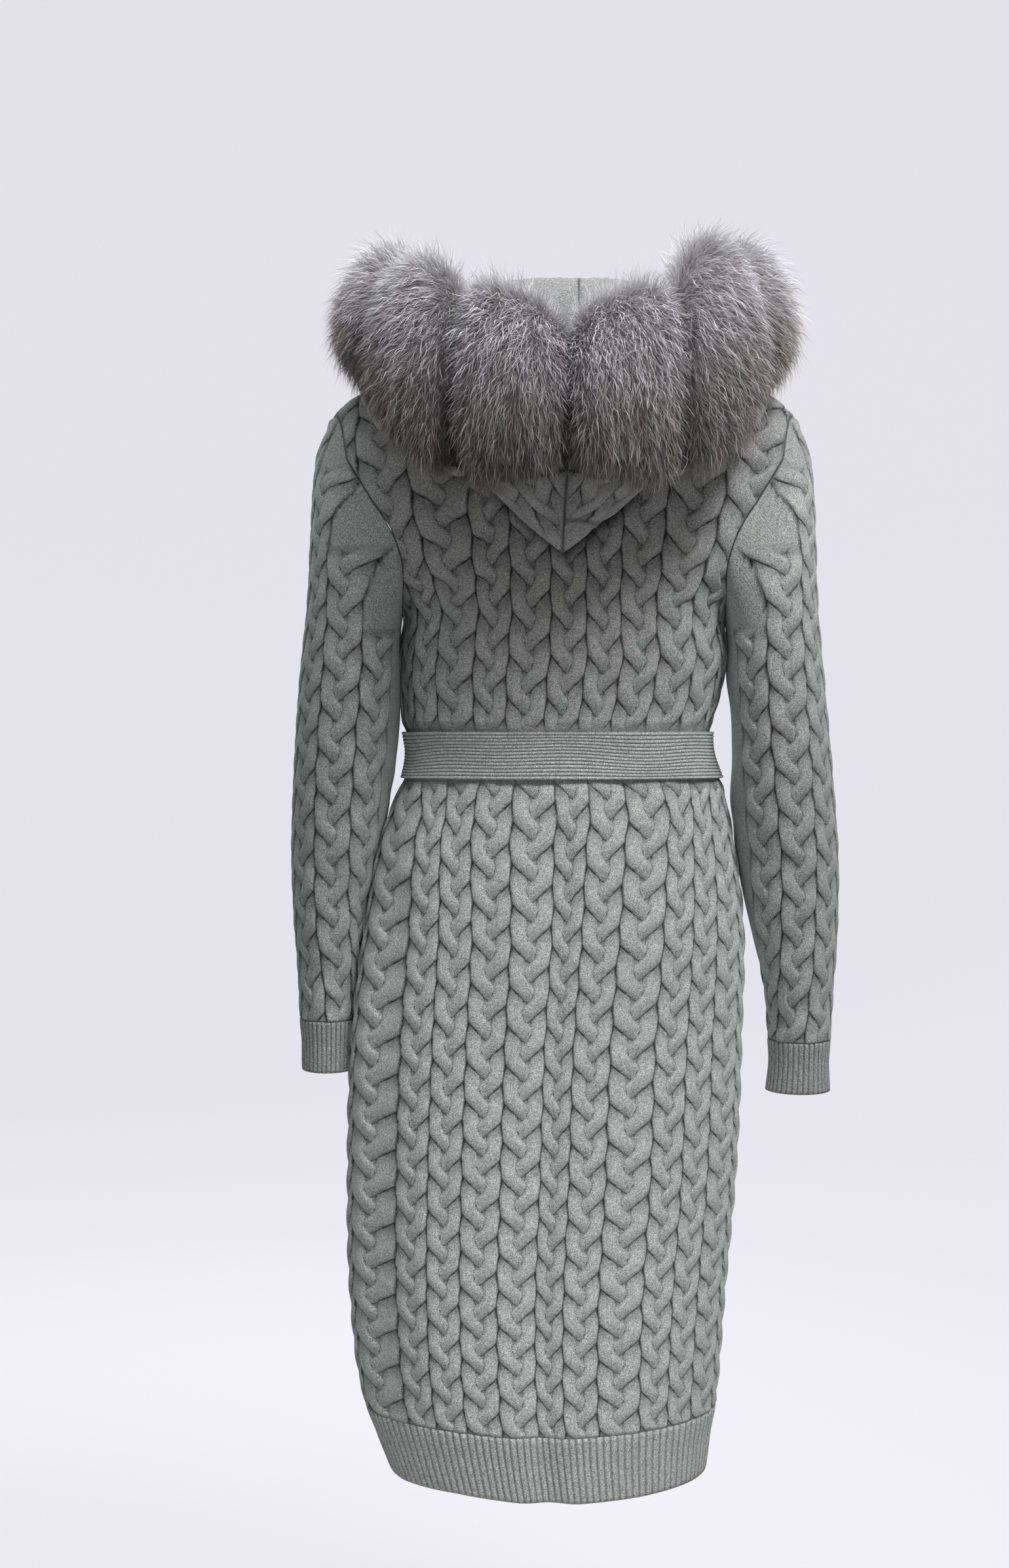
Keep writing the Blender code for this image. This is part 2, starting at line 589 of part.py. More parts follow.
def make_belt():
    """Band round the waist; in front a knot and two ends hanging from it."""
    heights = (BELT_TOP_Z - BELT_WIDTH, BELT_TOP_Z - BELT_WIDTH / 2, BELT_TOP_Z)
    outer = np.array([belt_ring(z, BELT_CLEAR + BELT_CLOTH) for z in heights])
    inner = np.array([belt_ring(z, BELT_CLEAR) for z in heights])
    add_object("belt_band", lambda shape: wall(shape, outer, inner, True), RIB)
    flat_foot = (KNOT_SIZE[2] / 2 - KNOT_ROUND) / (BELT_WIDTH / 2)
    front = (outer[1] + (outer[0] - outer[1]) * flat_foot)[:, 1].min()
    knot_y = front - SEAM - KNOT_SIZE[1] / 2
    middle_z = BELT_TOP_Z - BELT_WIDTH / 2
    middle_x = float(look_up(TORSO, middle_z)["centre_x"])

    def knot(shape):
        bmesh.ops.create_cube(shape, size=1.0)
        bmesh.ops.scale(shape, vec=KNOT_SIZE, verts=shape.verts)
        bmesh.ops.bevel(shape, geom=shape.edges[:] + shape.verts[:], offset=KNOT_ROUND,
                        segments=2, affect="EDGES", profile=0.5)
        bmesh.ops.translate(shape, vec=(middle_x, knot_y, middle_z), verts=shape.verts)
    add_object("belt_knot", knot, RIB)

    knot_foot = middle_z - KNOT_SIZE[2] / 2 - SEAM
    for name, lean, length in zip(*TAILS.values()):
        across = np.linspace(-BELT_WIDTH / 2, BELT_WIDTH / 2, 4)[None, :]
        down = np.linspace(0, length, 9)[:, None]
        z = knot_foot - down + 0 * across
        narrow = 1 - 0.45 * (1 - smoothstep(0, 0.05, down))
        x = middle_x + lean * (0.012 + 0.10 * down) + across * narrow
        skirt = look_up(TORSO, z)["front_depth"]
        near = np.minimum(-skirt - TAIL_CLEAR, front - 0.002 - 0.012 * (1 - down / length))
        rank = (BELT_CLOTH + TAILS_APART) * (lean < 0)
        back = np.stack([x, near - rank, z], axis=-1)
        add_object(name, lambda shape: wall(shape, back + np.array([0, -BELT_CLOTH, 0]), back),
                   RIB)


for old in list(bpy.data.objects):
    bpy.data.objects.remove(old, do_unlink=True)
collection = bpy.data.collections.new("hooded_cardigan")
bpy.context.scene.collection.children.link(collection)
body_levels = make_body()
make_sleeves(body_levels)
make_hood()
make_fur()
make_belt()
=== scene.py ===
"""Looks of a long hooded cardigan: plaited knit, ribbed hem, cuffs and belt, fur round the hood.

Every cloth piece is a closed shell: a fine outer grid that carries the relief of the knit, and a
coarser inner grid one cloth's thickness behind it. The outer grids follow the same curves as the
solids of the frame. +Z is up, the back of the garment faces +Y, and +X is the wearer's left.
"""

from math import cos, pi, radians, sin

import bpy
import numpy as np
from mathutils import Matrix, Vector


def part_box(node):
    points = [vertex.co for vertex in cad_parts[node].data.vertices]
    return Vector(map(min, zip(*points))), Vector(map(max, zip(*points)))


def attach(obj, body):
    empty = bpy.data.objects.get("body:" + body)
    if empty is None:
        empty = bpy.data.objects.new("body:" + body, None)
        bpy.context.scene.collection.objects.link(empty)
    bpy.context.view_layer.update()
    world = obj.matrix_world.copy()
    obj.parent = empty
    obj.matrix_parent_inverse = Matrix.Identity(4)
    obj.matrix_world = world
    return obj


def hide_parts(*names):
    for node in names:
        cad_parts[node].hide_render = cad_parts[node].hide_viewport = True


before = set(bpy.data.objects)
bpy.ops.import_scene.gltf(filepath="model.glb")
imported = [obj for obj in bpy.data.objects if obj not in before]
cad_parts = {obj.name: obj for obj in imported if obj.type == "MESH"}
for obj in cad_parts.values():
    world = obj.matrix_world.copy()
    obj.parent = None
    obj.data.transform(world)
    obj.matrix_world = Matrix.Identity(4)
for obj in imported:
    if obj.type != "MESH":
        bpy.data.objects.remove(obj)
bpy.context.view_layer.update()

bl_info = {
    "name": "Hooded cardigan",
    "version": (1, 0, 0),
    "blender": (4, 5, 0),
    "location": "3D View > Sidebar > Cardigan",
    "description": "Builds the looks of a long plaited-knit cardigan with a fur-trimmed hood",
    "category": "Add Mesh",
}

# ---------------------------------------------------------------- sizes shared with the solids
CLOTH = 0.0034              # thickness of the knit
RIB_CLOTH = 0.0030          # thickness of the ribbed hem and cuffs
SEAM = 0.0003               # gap between two pieces at a seam
BACK_COLUMNS = 13           # plaited columns across the back
HALF_COLUMNS = BACK_COLUMNS / 2
HEM_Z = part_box("hem_back")[0].z
RIB_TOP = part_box("hem_back")[1].z
UNDERARM_Z = -0.250
YOKE_Z = -0.100
YOKE_LENGTH = 0.105         # from the yoke's level over to the top edge, along the cloth
NECK_HALF_WIDTH = 0.075
NECK_CENTRE_Y = 0.005
NECK_BACK_DEPTH = 0.070
NECK_FRONT_DEPTH = 0.100
NECK_POINT_Z = 0.012
NECK_BACK_DROP = 0.030
NECK_FRONT_DROP = 0.067
NECK_COLUMN = 1.72          # column coordinate of the neck point
SHOULDER_X = 0.235
SHOULDER_SLOPE = 0.030
SHOULDER_ROUND = 0.037
SHOULDER_COLUMN = 5.30      # column coordinate of the shoulder's outer end
BELT_LOW_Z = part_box("belt_band")[0].z
BELT_TOP_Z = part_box("belt_band")[1].z
BELT_WIDTH = BELT_TOP_Z - BELT_LOW_Z
BELT_MIDDLE_Z = (BELT_LOW_Z + BELT_TOP_Z) / 2
BELT_CLOTH = 0.0034
BELT_CLEAR = 0.0018
CUFF = 0.052                # height of a cuff
RIGHT_SLEEVE_EXTRA = 0.022  # how much lower the right cuff hangs
HOOD_ROLL = 0.010           # half width of the hood's rolled folds
SIDES = ((1, "left"), (-1, "right"))
COLUMN_WIDTH = 0.038        # usual width of a plaited column


def rows(names, *values):
    """A table from its column names and one tuple for each row: an array for each column."""
    return {name: np.array(column, float) for name, column in zip(names.split(), zip(*values))}


# Level sections of the body. spread bunches the columns at the middle (-) or at the sides (+).
TORSO = rows(
    "z half_width back_depth front_depth centre_x spread",
    (HEM_Z, 0.1625, 0.096, 0.094, 0.0155, -0.125),
    (-1.085, 0.172, 0.100, 0.098, 0.0205, -0.135),
    (-1.032, 0.182, 0.103, 0.101, 0.0250, -0.145),
    (-0.950, 0.190, 0.106, 0.104, 0.0265, -0.150),
    (-0.820, 0.197, 0.108, 0.106, 0.0220, -0.150),
    (-0.680, 0.1975, 0.107, 0.106, 0.0170, -0.150),
    (-0.563, 0.191, 0.103, 0.103, 0.0095, -0.120),
    (-0.480, 0.178, 0.097, 0.098, 0.0070, -0.060),
    (-0.420, 0.160, 0.089, 0.091, 0.0020, 0.000),
    (-0.395, 0.1535, 0.086, 0.088, 0.0030, 0.020),
    (-0.370, 0.1545, 0.086, 0.088, 0.0060, 0.030),
    (-0.335, 0.1610, 0.090, 0.092, 0.0040, 0.040),
    (-0.300, 0.1655, 0.095, 0.096, 0.0005, 0.040),
    (UNDERARM_Z, 0.1630, 0.100, 0.098, 0.0000, 0.020),
    (-0.190, 0.2080, 0.102, 0.098, 0.0000, -0.090),
    (-0.140, 0.2350, 0.101, 0.095, 0.0000, -0.130),
    (YOKE_Z, 0.2500, 0.099, 0.092, 0.0000, -0.160),
)
# The armhole's edge in column coordinates, from the underarm up to the yoke.
ARMHOLE = rows(
    "step z column",
    (0, UNDERARM_Z, HALF_COLUMNS),
    (1, -0.243, 5.75),
    (2, -0.228, 4.85),
    (3, -0.205, 4.25),
    (4, -0.172, 4.18),
    (5, -0.137, 4.48),
    (6, YOKE_Z, 4.86),
)
# Where the edges between the back's plaited columns truly lie, on the skirt and above the belt.
DRIFT = rows(
    "column skirt above",
    (-6.5, -6.50, -6.50), (-5.5, -5.60, -5.75), (-4.5, -4.55, -5.00), (-3.5, -3.78, -3.55),
    (-2.5, -2.96, -2.30), (-1.5, -1.76, -1.32), (-0.5, -0.74, -0.48), (0.5, 0.11, 0.36),
    (1.5, 1.25, 1.33), (2.5, 2.30, 2.22), (3.5, 3.17, 3.45), (4.5, 4.00, 4.60),
    (5.5, 5.75, 5.60), (6.5, 6.50, 6.50),
)
# How far the hem hangs below its level across the back, by column; the fronts hang by the ends'.
HEM_DROP = rows(
    "column drop",
    (-6.5, 0.004), (-5.0, 0.009), (-3.0, 0.014), (-1.0, 0.017), (1.0, 0.016), (3.0, 0.011),
    (5.0, 0.009), (6.5, 0.004),
)
# Deep vertical folds: middle in columns (+ is the wearer's left), half width in columns, depth.
FOLDS = rows(
    "column width depth z_low z_high",
    (0.0, 0.55, 0.007, HEM_Z - 0.2, -0.44),
    (4.5, 0.60, 0.013, HEM_Z + 0.02, -0.50),
    (-2.9, 0.60, 0.004, -0.95, -0.45),
    (3.5, 0.55, 0.016, -0.39, -0.18),
    (-4.2, 0.50, 0.010, -0.39, -0.20),
)

# Sleeve sections: the outer and the inner edge of each, and half its depth front to back.
SLEEVE = rows(
    "station out_left out_right out_z in_left in_right in_z half_depth centre_y",
    (0, 0.2350, 0.2350, -0.055, 0.1630, 0.1630, -0.250, 0.070, 0.004),
    (1, 0.2500, 0.2490, -0.098, 0.1665, 0.1665, -0.284, 0.071, 0.006),
    (2, 0.2545, 0.2530, -0.165, 0.1655, 0.1660, -0.318, 0.070, 0.006),
    (3, 0.2585, 0.2560, -0.240, 0.1665, 0.1710, -0.352, 0.068, 0.004),
    (4, 0.2670, 0.2640, -0.320, 0.1700, 0.1725, -0.395, 0.065, 0.000),
    (5, 0.2730, 0.2730, -0.405, 0.1765, 0.1715, -0.440, 0.062, -0.005),
    (6, 0.2765, 0.2800, -0.490, 0.1890, 0.1800, -0.500, 0.057, -0.010),
    (7, 0.2745, 0.2795, -0.565, 0.2030, 0.1960, -0.567, 0.051, -0.014),
    (8, 0.2705, 0.2755, -0.625, 0.2115, 0.2110, -0.625, 0.044, -0.016),
    (9, 0.2690, 0.2735, -0.668, 0.2140, 0.2140, -0.668, 0.040, -0.017),
)
CUFF_END = {"out_left": 0.2690, "out_right": 0.2755, "in_left": 0.2145, "in_right": 0.2095,
            "half_depth": 0.041}
# Hanging ends of the belt: which way each leans (+ is the wearer's left) and how long it is.
TAILS = {
    "name": ("belt_end_left", "belt_end_right"),
    "lean": (1.0, -1.0),
    "length": (0.290, 0.325),
}
# The fur: radius and height of its middle by azimuth from the centre back, and its half sizes.
FUR = rows(
    "azimuth radius z half_height half_thickness lean",
    (0, 0.182, -0.036, 0.090, 0.044, 0),
    (16, 0.184, -0.040, 0.092, 0.047, 0),
    (33, 0.186, -0.030, 0.094, 0.047, 4),
    (47, 0.189, -0.011, 0.094, 0.048, 8),
    (62, 0.192, 0.020, 0.090, 0.048, 12),
    (76, 0.192, 0.050, 0.074, 0.046, 16),
    (90, 0.188, 0.058, 0.067, 0.044, 18),
    (105, 0.181, 0.054, 0.064, 0.043, 14),
    (120, 0.172, 0.042, 0.063, 0.041, 8),
    (137, 0.162, 0.022, 0.060, 0.038, 4),
    (155, 0.156, 0.000, 0.054, 0.034, 0),
)
# How far the fur's top stands above the table's on each side, and its foot below.
FUR_TOPS = rows(
    "azimuth left right foot",
    (0, -0.020, -0.020, 0.020), (12, -0.006, -0.006, 0.004), (33, 0.012, 0.014, 0.026),
    (47, 0.008, 0.026, 0.008), (62, -0.002, 0.012, 0.002), (76, -0.010, -0.006, 0),
    (105, -0.006, -0.002, 0), (120, 0, 0, 0), (155, 0, 0, 0),
)
FUR_JOINS = (0, 32, 62, 90, 120, 154)      # azimuths where two lengths of fur meet
# The hood, worn down: it rises from the neckline, folds over, hangs, and turns up to its edge.
HOOD = rows(
    "azimuth top_radius top_z low_radius low_z fold",
    (0, 0.090, 0.068, 0.126, -0.196, 1.0),
    (16, 0.091, 0.069, 0.132, -0.167, 1.0),
    (33, 0.093, 0.069, 0.146, -0.128, 1.0),
    (47, 0.095, 0.067, 0.160, -0.106, 1.0),
    (62, 0.097, 0.064, 0.180, -0.079, 0.8),
    (76, 0.098, 0.060, 0.176, -0.024, 0.1),
    (90, 0.099, 0.056, 0.165, -0.006, 0.0),
    (105, 0.101, 0.049, 0.146, -0.006, 0.0),
    (120, 0.104, 0.038, 0.142, -0.030, 0.5),
    (137, 0.104, 0.022, 0.137, -0.054, 1.0),
    (155, 0.106, 0.002, 0.134, -0.070, 1.0),
)
# Soft creases: which side (+1 back, -1 front), where, how long, how deep (- is a ridge), slant.
CREASES = rows(
    "facing column z half_length width depth slant",
    (1, 5.4, -0.470, 0.050, 0.35, 0.0040, 0.6),
    (1, 3.0, -0.455, 0.040, 0.30, 0.0030, 0.3),
    (1, 1.5, -0.450, 0.034, 0.26, 0.0026, 0.1),
    (1, -1.5, -0.452, 0.036, 0.28, 0.0028, -0.1),
    (1, -3.2, -0.462, 0.045, 0.30, 0.0032, -0.3),
    (1, -5.2, -0.475, 0.052, 0.36, 0.0040, -0.6),
    (1, 2.2, -0.345, 0.040, 0.30, 0.0030, -0.3),
    (1, -1.1, -0.340, 0.036, 0.28, 0.0024, 0.2),
    (1, -2.6, -0.335, 0.045, 0.32, 0.0032, 0.5),
    (1, 1.4, -0.720, 0.160, 0.50, 0.0026, 0.5),
    (1, -1.8, -0.860, 0.180, 0.55, 0.0030, -0.4),
    (1, 3.1, -0.930, 0.130, 0.50, -0.0024, 0.4),
    (1, -4.4, -0.700, 0.200, 0.60, 0.0040, 0.5),
    (1, 5.6, -0.760, 0.220, 0.45, -0.0030, 0.2),
    (1, 2.5, -0.150, 0.060, 0.50, 0.0030, 1.6),
    (1, -2.7, -0.160, 0.060, 0.50, 0.0030, -1.8),
    (-1, 5.0, -0.465, 0.050, 0.34, 0.0036, 0.4),
    (-1, 3.4, -0.458, 0.042, 0.30, 0.0030, 0.3),
    (-1, 1.9, -0.452, 0.040, 0.28, 0.0028, 0.1),
    (-1, -2.3, -0.455, 0.040, 0.30, 0.0030, -0.2),
    (-1, -4.1, -0.462, 0.048, 0.32, 0.0034, -0.4),
    (-1, 2.6, -0.340, 0.042, 0.30, 0.0028, -0.4),
    (-1, -1.7, -0.338, 0.040, 0.28, 0.0026, 0.3),
    (-1, -3.3, -0.342, 0.046, 0.34, 0.0032, 0.5),
    (-1, 3.8, -0.800, 0.200, 0.55, 0.0036, 0.4),
    (-1, -2.9, -0.760, 0.190, 0.55, 0.0034, -0.5),
    (-1, -5.0, -0.900, 0.160, 0.50, -0.0028, 0.2),
)
# Creases across the sleeves: station, angle round from the outer edge (+ is the back), sizes.
SLEEVE_CREASES = rows(
    "side station angle length width depth slant",
    (1, 3.2, 1.9, 0.8, 0.28, 0.0030, 0.6),
    (1, 4.4, 2.2, 0.9, 0.24, 0.0036, 0.5),
    (1, 5.3, 2.0, 0.8, 0.22, 0.0030, -0.4),
    (1, 6.4, 1.7, 0.9, 0.24, 0.0026, 0.5),
    (1, 7.9, 1.5, 1.0, 0.22, 0.0024, 0.3),
    (1, 8.5, 2.3, 0.8, 0.18, 0.0024, -0.3),
    (1, 4.9, -1.7, 0.9, 0.26, 0.0032, 0.5),
    (1, 6.1, -1.9, 0.8, 0.24, 0.0028, -0.4),
    (-1, 3.4, 2.0, 0.8, 0.28, 0.0028, 0.5),
    (-1, 4.7, 2.3, 0.9, 0.24, 0.0036, 0.6),
    (-1, 5.8, 2.1, 0.8, 0.22, 0.0030, -0.5),
    (-1, 7.0, 1.8, 0.9, 0.24, 0.0028, 0.4),
    (-1, 8.2, 1.6, 1.0, 0.20, 0.0026, 0.4),
    (-1, 5.1, -1.8, 0.9, 0.26, 0.0032, -0.5),
    (-1, 6.6, -1.6, 0.8, 0.24, 0.0028, 0.4),
)

# ---------------------------------------------------------------- numbers of the knit and the fur
# Length of one plait period by height.
PERIOD = rows(
    "z length",
    (HEM_Z, 0.0345), (-0.95, 0.0355), (-0.70, 0.0385), (-0.45, 0.0410), (-0.38, 0.0415),
    (-0.30, 0.0425), (0.05, 0.0415),
)
SLEEVE_PERIOD = 0.0415
SLEEVE_COLUMNS = 3.5        # plaited columns each side of the sleeve's outer edge
SLEEVE_OFFSET = 0.15        # how far the middle column lies behind the outer edge
SWING = 0.365               # how far a strand swings from the middle of its column
SQUARE = 0.13               # lets a strand run straight at the side before it crosses
HALF_STRAND = 0.224         # half width of a strand where it runs straight up
ARCH = 3.6                  # how flat a strand's arched top is: 2 is round, more is flatter
SLANT = 0.68                # a strand's slope where it crosses, by which it is wider across
LIFT = 0.40                 # rise of a strand where it crosses over
GROUND = 0.25               # height of the ground between the strands
ZIGZAG = 0.018              # how far the edge between two columns swings
FAR = 0.03                  # the distance kept where no seam is near
SEAM_STEP = 0.0020          # distance kept where two pieces meet without a dark groove of painted shade
SEAM_WIDTH = 0.0035         # from a seam's groove out to the full relief of the plait
SLEEVE_RELIEF, HOOD_RELIEF, BUMP_RELIEF = 0.92, 1.4, 0.45   # shares of the plait's relief
BELT_RIB = 0.0011           # height of one rib of the belt
# Painted shade: the share of the light that the cloth or the fur close by keeps away, painted
# into the colour; the sleeves and the cuffs have it too.
SHADE_ABOVE_BELT, SHADE_LEFT_ARM, SHADE_RIGHT_ARM, SHADE_UNDER_HOOD = 0.17, 0.38, 0.34, 0.72
SHADE_SLEEVE, SHADE_CUFF, SHADE_HOOD = 0.22, 0.30, 0.22
# The yarn's noises, in features per metre, and the height of its fuzz.
FLECKS, PATCHES, DRIFTS, FUZZ, FUZZ_HEIGHT = 1000.0, 330.0, 9.0, 900.0, 0.0003
WALES = 5.0                 # fine wales from the middle of a strand to its edge
# Tone of the hairs, from the usual one up to the most. Chance and a lifted tuft add to it; the
# right side, the outer lengths and the top add painted light; the underside takes painted shade,
# and a join takes both dark roots and painted shade.
HAIR_TONE_AND_PAINTED_LIGHT = {"usual": 0.48, "chance": 0.09, "lift": 0.15, "right": 0.18, "outer": 0.32,
             "outer_right": 0.20, "join": 1.15, "top": 0.75, "under": 0.15, "most": 1.22}
SKIN_DEPTH, ROOT_DEPTH = 0.012, 0.013   # how far the fur's skin and roots lie below its reach
LONG_ONE_IN = 6             # one lock in this many is long and bent
SHORT_LENGTH = 0.72         # a short lock's length, as a share of a long one's
# The fine grids, rows by columns, and how many of their steps one step of the inner grid takes.
BACK_GRID, FRONT_GRID = (441, 209), (353, 81)
SLEEVE_GRID, HOOD_GRID = (257, 160), (129, 121)
FUR_GRID = (15, 24)
KNIT_SKIP, HEM_SKIP, CUFF_SKIP = (8, 8), (8, 8), (8, 6)
HOOD_SKIP, BAND_SKIP, END_SKIP = (2, 4), (6, 4), (6, 6)
RIB_ROWS = 17               # rows of the hem and of a cuff
HEM_RIBS, CUFF_RIBS, BELT_RIBS = 62, 36, 14     # ribs of the back's hem, a cuff and the belt
HEM_STEPS, CUFF_STEPS, BELT_STEPS = 8, 6, 6     # grid steps across one rib


# ---------------------------------------------------------------- curves and the plait
def stacked(*parts):
    """Arrays as the last axis of one array, stretched to one shape first."""
    return np.stack(np.broadcast_arrays(*parts), axis=-1)


def curve(xs, ys, x):
    """Cubic Hermite curve through the points (xs, ys), tangents by central differences."""
    slope = np.gradient(ys, xs)
    i = np.clip(np.searchsorted(xs, x) - 1, 0, len(xs) - 2)
    step = xs[i + 1] - xs[i]
    t = np.clip((x - xs[i]) / step, 0.0, 1.0)
    return ((1 + 2 * t) * (1 - t) ** 2 * ys[i] + t * (1 - t) ** 2 * step * slope[i]
            + t * t * (3 - 2 * t) * ys[i + 1] - t * t * (1 - t) * step * slope[i + 1])


def look_up(table, x):
    """Every column of a table at x, read from smooth curves over the table's first column."""
    names = list(table)
    at = np.asarray(x, float)
    return {name: curve(table[names[0]], table[name], at) for name in names[1:]}


def smoothstep(low, high, x):
    """0 below low, 1 above high, t * t * (3 - 2t) between them."""
    t = np.clip((x - low) / (high - low), 0.0, 1.0)
    return t * t * (3 - 2 * t)


def bell(distance, width):
    """1 at no distance, falling off as exp(-(distance / width)^2)."""
    return np.exp(-(distance / width) ** 2)


def ridges(count):
    """Round ribs: sqrt(|sin(pi * count)|), 0 in the furrows and 1 on the ribs."""
    return np.sqrt(np.abs(np.sin(pi * count)))


def unit(vectors):
    """Vectors scaled to length 1."""
    return vectors / np.maximum(np.linalg.norm(vectors, axis=-1, keepdims=True), 1e-12)


def turned_to(directions, way):
    """Directions, all turned round if they point against the way more than along it."""
    return -directions if np.sum(directions * way) < 0 else directions


def plait(column, period):
    """Height of a three-strand plait, column widths across and periods up.

    Strand k runs across as SWING * (sin a + SQUARE * sin 3a), with a = 2 pi (period + k) / 3, and
    rises as LIFT * sin 2a, so it is up on its way in and down on its way out. Its half width
    across is HALF_STRAND * sqrt(1 + slope^2), its section a flattened arch, and a strand that
    comes out from under another fills the column to its edge. The surface is the highest of the
    three strands and the ground. The edge between two columns swings as ZIGZAG * sin(2 pi
    period).
    """
    wave = np.sin(2 * pi * period)
    column = column + ZIGZAG * wave * (1 - np.cos(2 * pi * column)) / 2
    place = column - np.round(column)
    height = np.full(place.shape, GROUND)
    for strand in range(3):
        turn = 2 * pi / 3 * (period + strand)
        slope = SLANT * (np.cos(turn) + 3 * SQUARE * np.cos(2 * np.pi * period))
        half = HALF_STRAND * np.sqrt(1 + slope ** 2)
        middle = SWING * (np.sin(turn) + SQUARE * wave)
        off = place - middle
        under = np.clip(-3 * np.sin(2 * turn), 0, 1) * np.clip(8 * np.abs(middle) - 1, 0, 1)
        wider = np.maximum(0.5 - np.abs(middle) - half, 0) * under * (off * middle > 0)
        across = np.abs(off / (half + wider))
        here = LIFT * np.sin(2 * turn) + np.sqrt(np.maximum(1 - across ** ARCH, 0))
        height = np.where(across < 1, np.maximum(height, here), height)
    return height - GROUND


# ---------------------------------------------------------------- body surfaces
def neckline(azimuth):
    """Point of the neckline at an azimuth in radians from the centre back: a split ellipse."""
    turn = np.cos(azimuth)
    depth = np.where(turn > 0, NECK_BACK_DEPTH, NECK_FRONT_DEPTH)
    drop = np.where(turn > 0, NECK_BACK_DROP, NECK_FRONT_DROP)
    return stacked(NECK_HALF_WIDTH * np.sin(azimuth), NECK_CENTRE_Y + depth * turn,
                   NECK_POINT_Z - drop * np.abs(turn))


def torso(column, z, facing):
    """Ground surface below the yoke: half ellipses by height, less the folds and creases.

    The angle round is pi/2 * turn + spread * sin(pi * turn), where turn is column over half the
    columns. A fold or crease takes depth * exp(-(distance / width)^2) off the ellipse's depth.
    A fold starts over 10 cm at its foot and ends over 6 cm at its head.
    """
    level = look_up(TORSO, z)
    depth = level["back_depth" if facing > 0 else "front_depth"]
    turn = column / HALF_COLUMNS
    angle = pi / 2 * turn + level["spread"] * np.sin(pi * turn)
    if facing > 0:
        for middle, width, fold, low, high in zip(*FOLDS.values()):
            reach = smoothstep(low, low + 0.10, z) * (1 - smoothstep(high - 0.06, high, z))
            depth = depth - fold * reach * bell(column - middle, width)
    for side, middle, height, half, width, crease, slant in zip(*CREASES.values()):
        if side == facing:
            up = (z - height) / half
            off = (column - middle - slant * up) / width
            depth = depth - crease * np.exp(-off ** 2 - up ** 2)
    x = level["centre_x"] + level["half_width"] * np.sin(angle)
    drop = np.interp(column if facing > 0 else HALF_COLUMNS, HEM_DROP["column"], HEM_DROP["drop"])
    return stacked(x, facing * depth * np.cos(angle), z - drop * (1 - smoothstep(HEM_Z, -0.90, z)))


def drifted(column, z):
    """Column coordinates of the plaits on the back, whose columns are not all equally wide."""
    above = smoothstep(-0.46, -0.39, z)
    skirt, high = (np.interp(column, DRIFT[key], DRIFT["column"] - DRIFT[key])
                   for key in ("skirt", "above"))
    return column + skirt + (high - skirt) * above


def top_edge(column, facing):
    """Neckline, then shoulder seam, in column coordinates."""
    side = np.sign(column)
    reach = np.abs(column)
    around = pi / 2 * np.clip(reach / NECK_COLUMN, 0, 1)
    neck = neckline(around if facing > 0 else pi - around)
    along = np.clip((reach - NECK_COLUMN) / (SHOULDER_COLUMN - NECK_COLUMN), 0, 1)
    past = reach > NECK_COLUMN
    x = np.where(past, NECK_HALF_WIDTH + (SHOULDER_X - NECK_HALF_WIDTH) * along, neck[..., 0])
    y = np.where(past, NECK_CENTRE_Y, neck[..., 1]) + facing * SEAM / 2
    fall = SHOULDER_SLOPE * along + SHOULDER_ROUND * along ** 3
    return stacked(side * x, y, np.where(past, NECK_POINT_Z - fall, neck[..., 2]))


def yoke(column, step, facing):
    """From the level YOKE_Z (step 0) over to the top edge (step 1), on an elliptical bend.

    The bend is a little over half a quarter turn at the centre and a whole one at the shoulder.
    """
    low = torso(column, YOKE_Z, facing)
    top = top_edge(column, facing)
    bend = pi / 2 * (0.55 + 0.45 * smoothstep(0, NECK_COLUMN + 0.8, np.abs(column)))
    turn = bend * step
    rise = np.sin(turn) / np.sin(bend)
    keep = (np.cos(turn) - np.cos(bend)) / (1 - np.cos(bend))
    return stacked(low[..., 0] + (top[..., 0] - low[..., 0]) * step,
                   top[..., 1] + (low[..., 1] - top[..., 1]) * keep,
                   YOKE_Z + (top[..., 2] - YOKE_Z) * rise)


def normals(grid, wrap=False):
    """Unit normals of a grid of points, along d/dcolumn x d/drow."""
    if wrap:
        across = np.roll(grid, -1, axis=1) - np.roll(grid, 1, axis=1)
    else:
        across = np.gradient(grid, axis=1)
    return unit(np.cross(across, np.gradient(grid, axis=0)))


def body_levels(count):
    """Rows of a body panel, by equal lengths upward: height, edge column and yoke step.

    The path is the height up to the yoke, with 0.4 of the armhole's sideways run added, and then
    the yoke's own length.
    """
    arm = look_up(ARMHOLE, np.linspace(0, ARMHOLE["step"][-1], 80))
    side = np.linspace(RIB_TOP + SEAM, UNDERARM_Z, 300)[:-1]
    height = np.concatenate([side, arm["z"]])
    edge = np.concatenate([np.full(len(side), HALF_COLUMNS), arm["column"]])
    run = np.hypot(np.diff(height), 0.4 * COLUMN_WIDTH * np.diff(edge))
    path = np.concatenate([[0], np.cumsum(run)])
    wanted = np.linspace(0, path[-1] + YOKE_LENGTH, count)
    over = np.clip((wanted - path[-1]) / YOKE_LENGTH, 0, 1)
    gain = SHOULDER_COLUMN - ARMHOLE["column"][-1]
    return {"z": np.interp(wanted, path, height), "path": wanted, "step": over,
            "edge": np.interp(wanted, path, edge) + gain * over}


def panel_ground(facing, shares, levels):
    """Ground points and column coordinates of a panel: shares of each row's own half width."""
    column = shares[None, :] * (levels["edge"][:, None] - SEAM / 2 / COLUMN_WIDTH)
    over = levels["step"] > 0
    points = torso(column, levels["z"][:, None], facing)
    points[over] = yoke(column[over], levels["step"][over, None], facing)
    return points, column


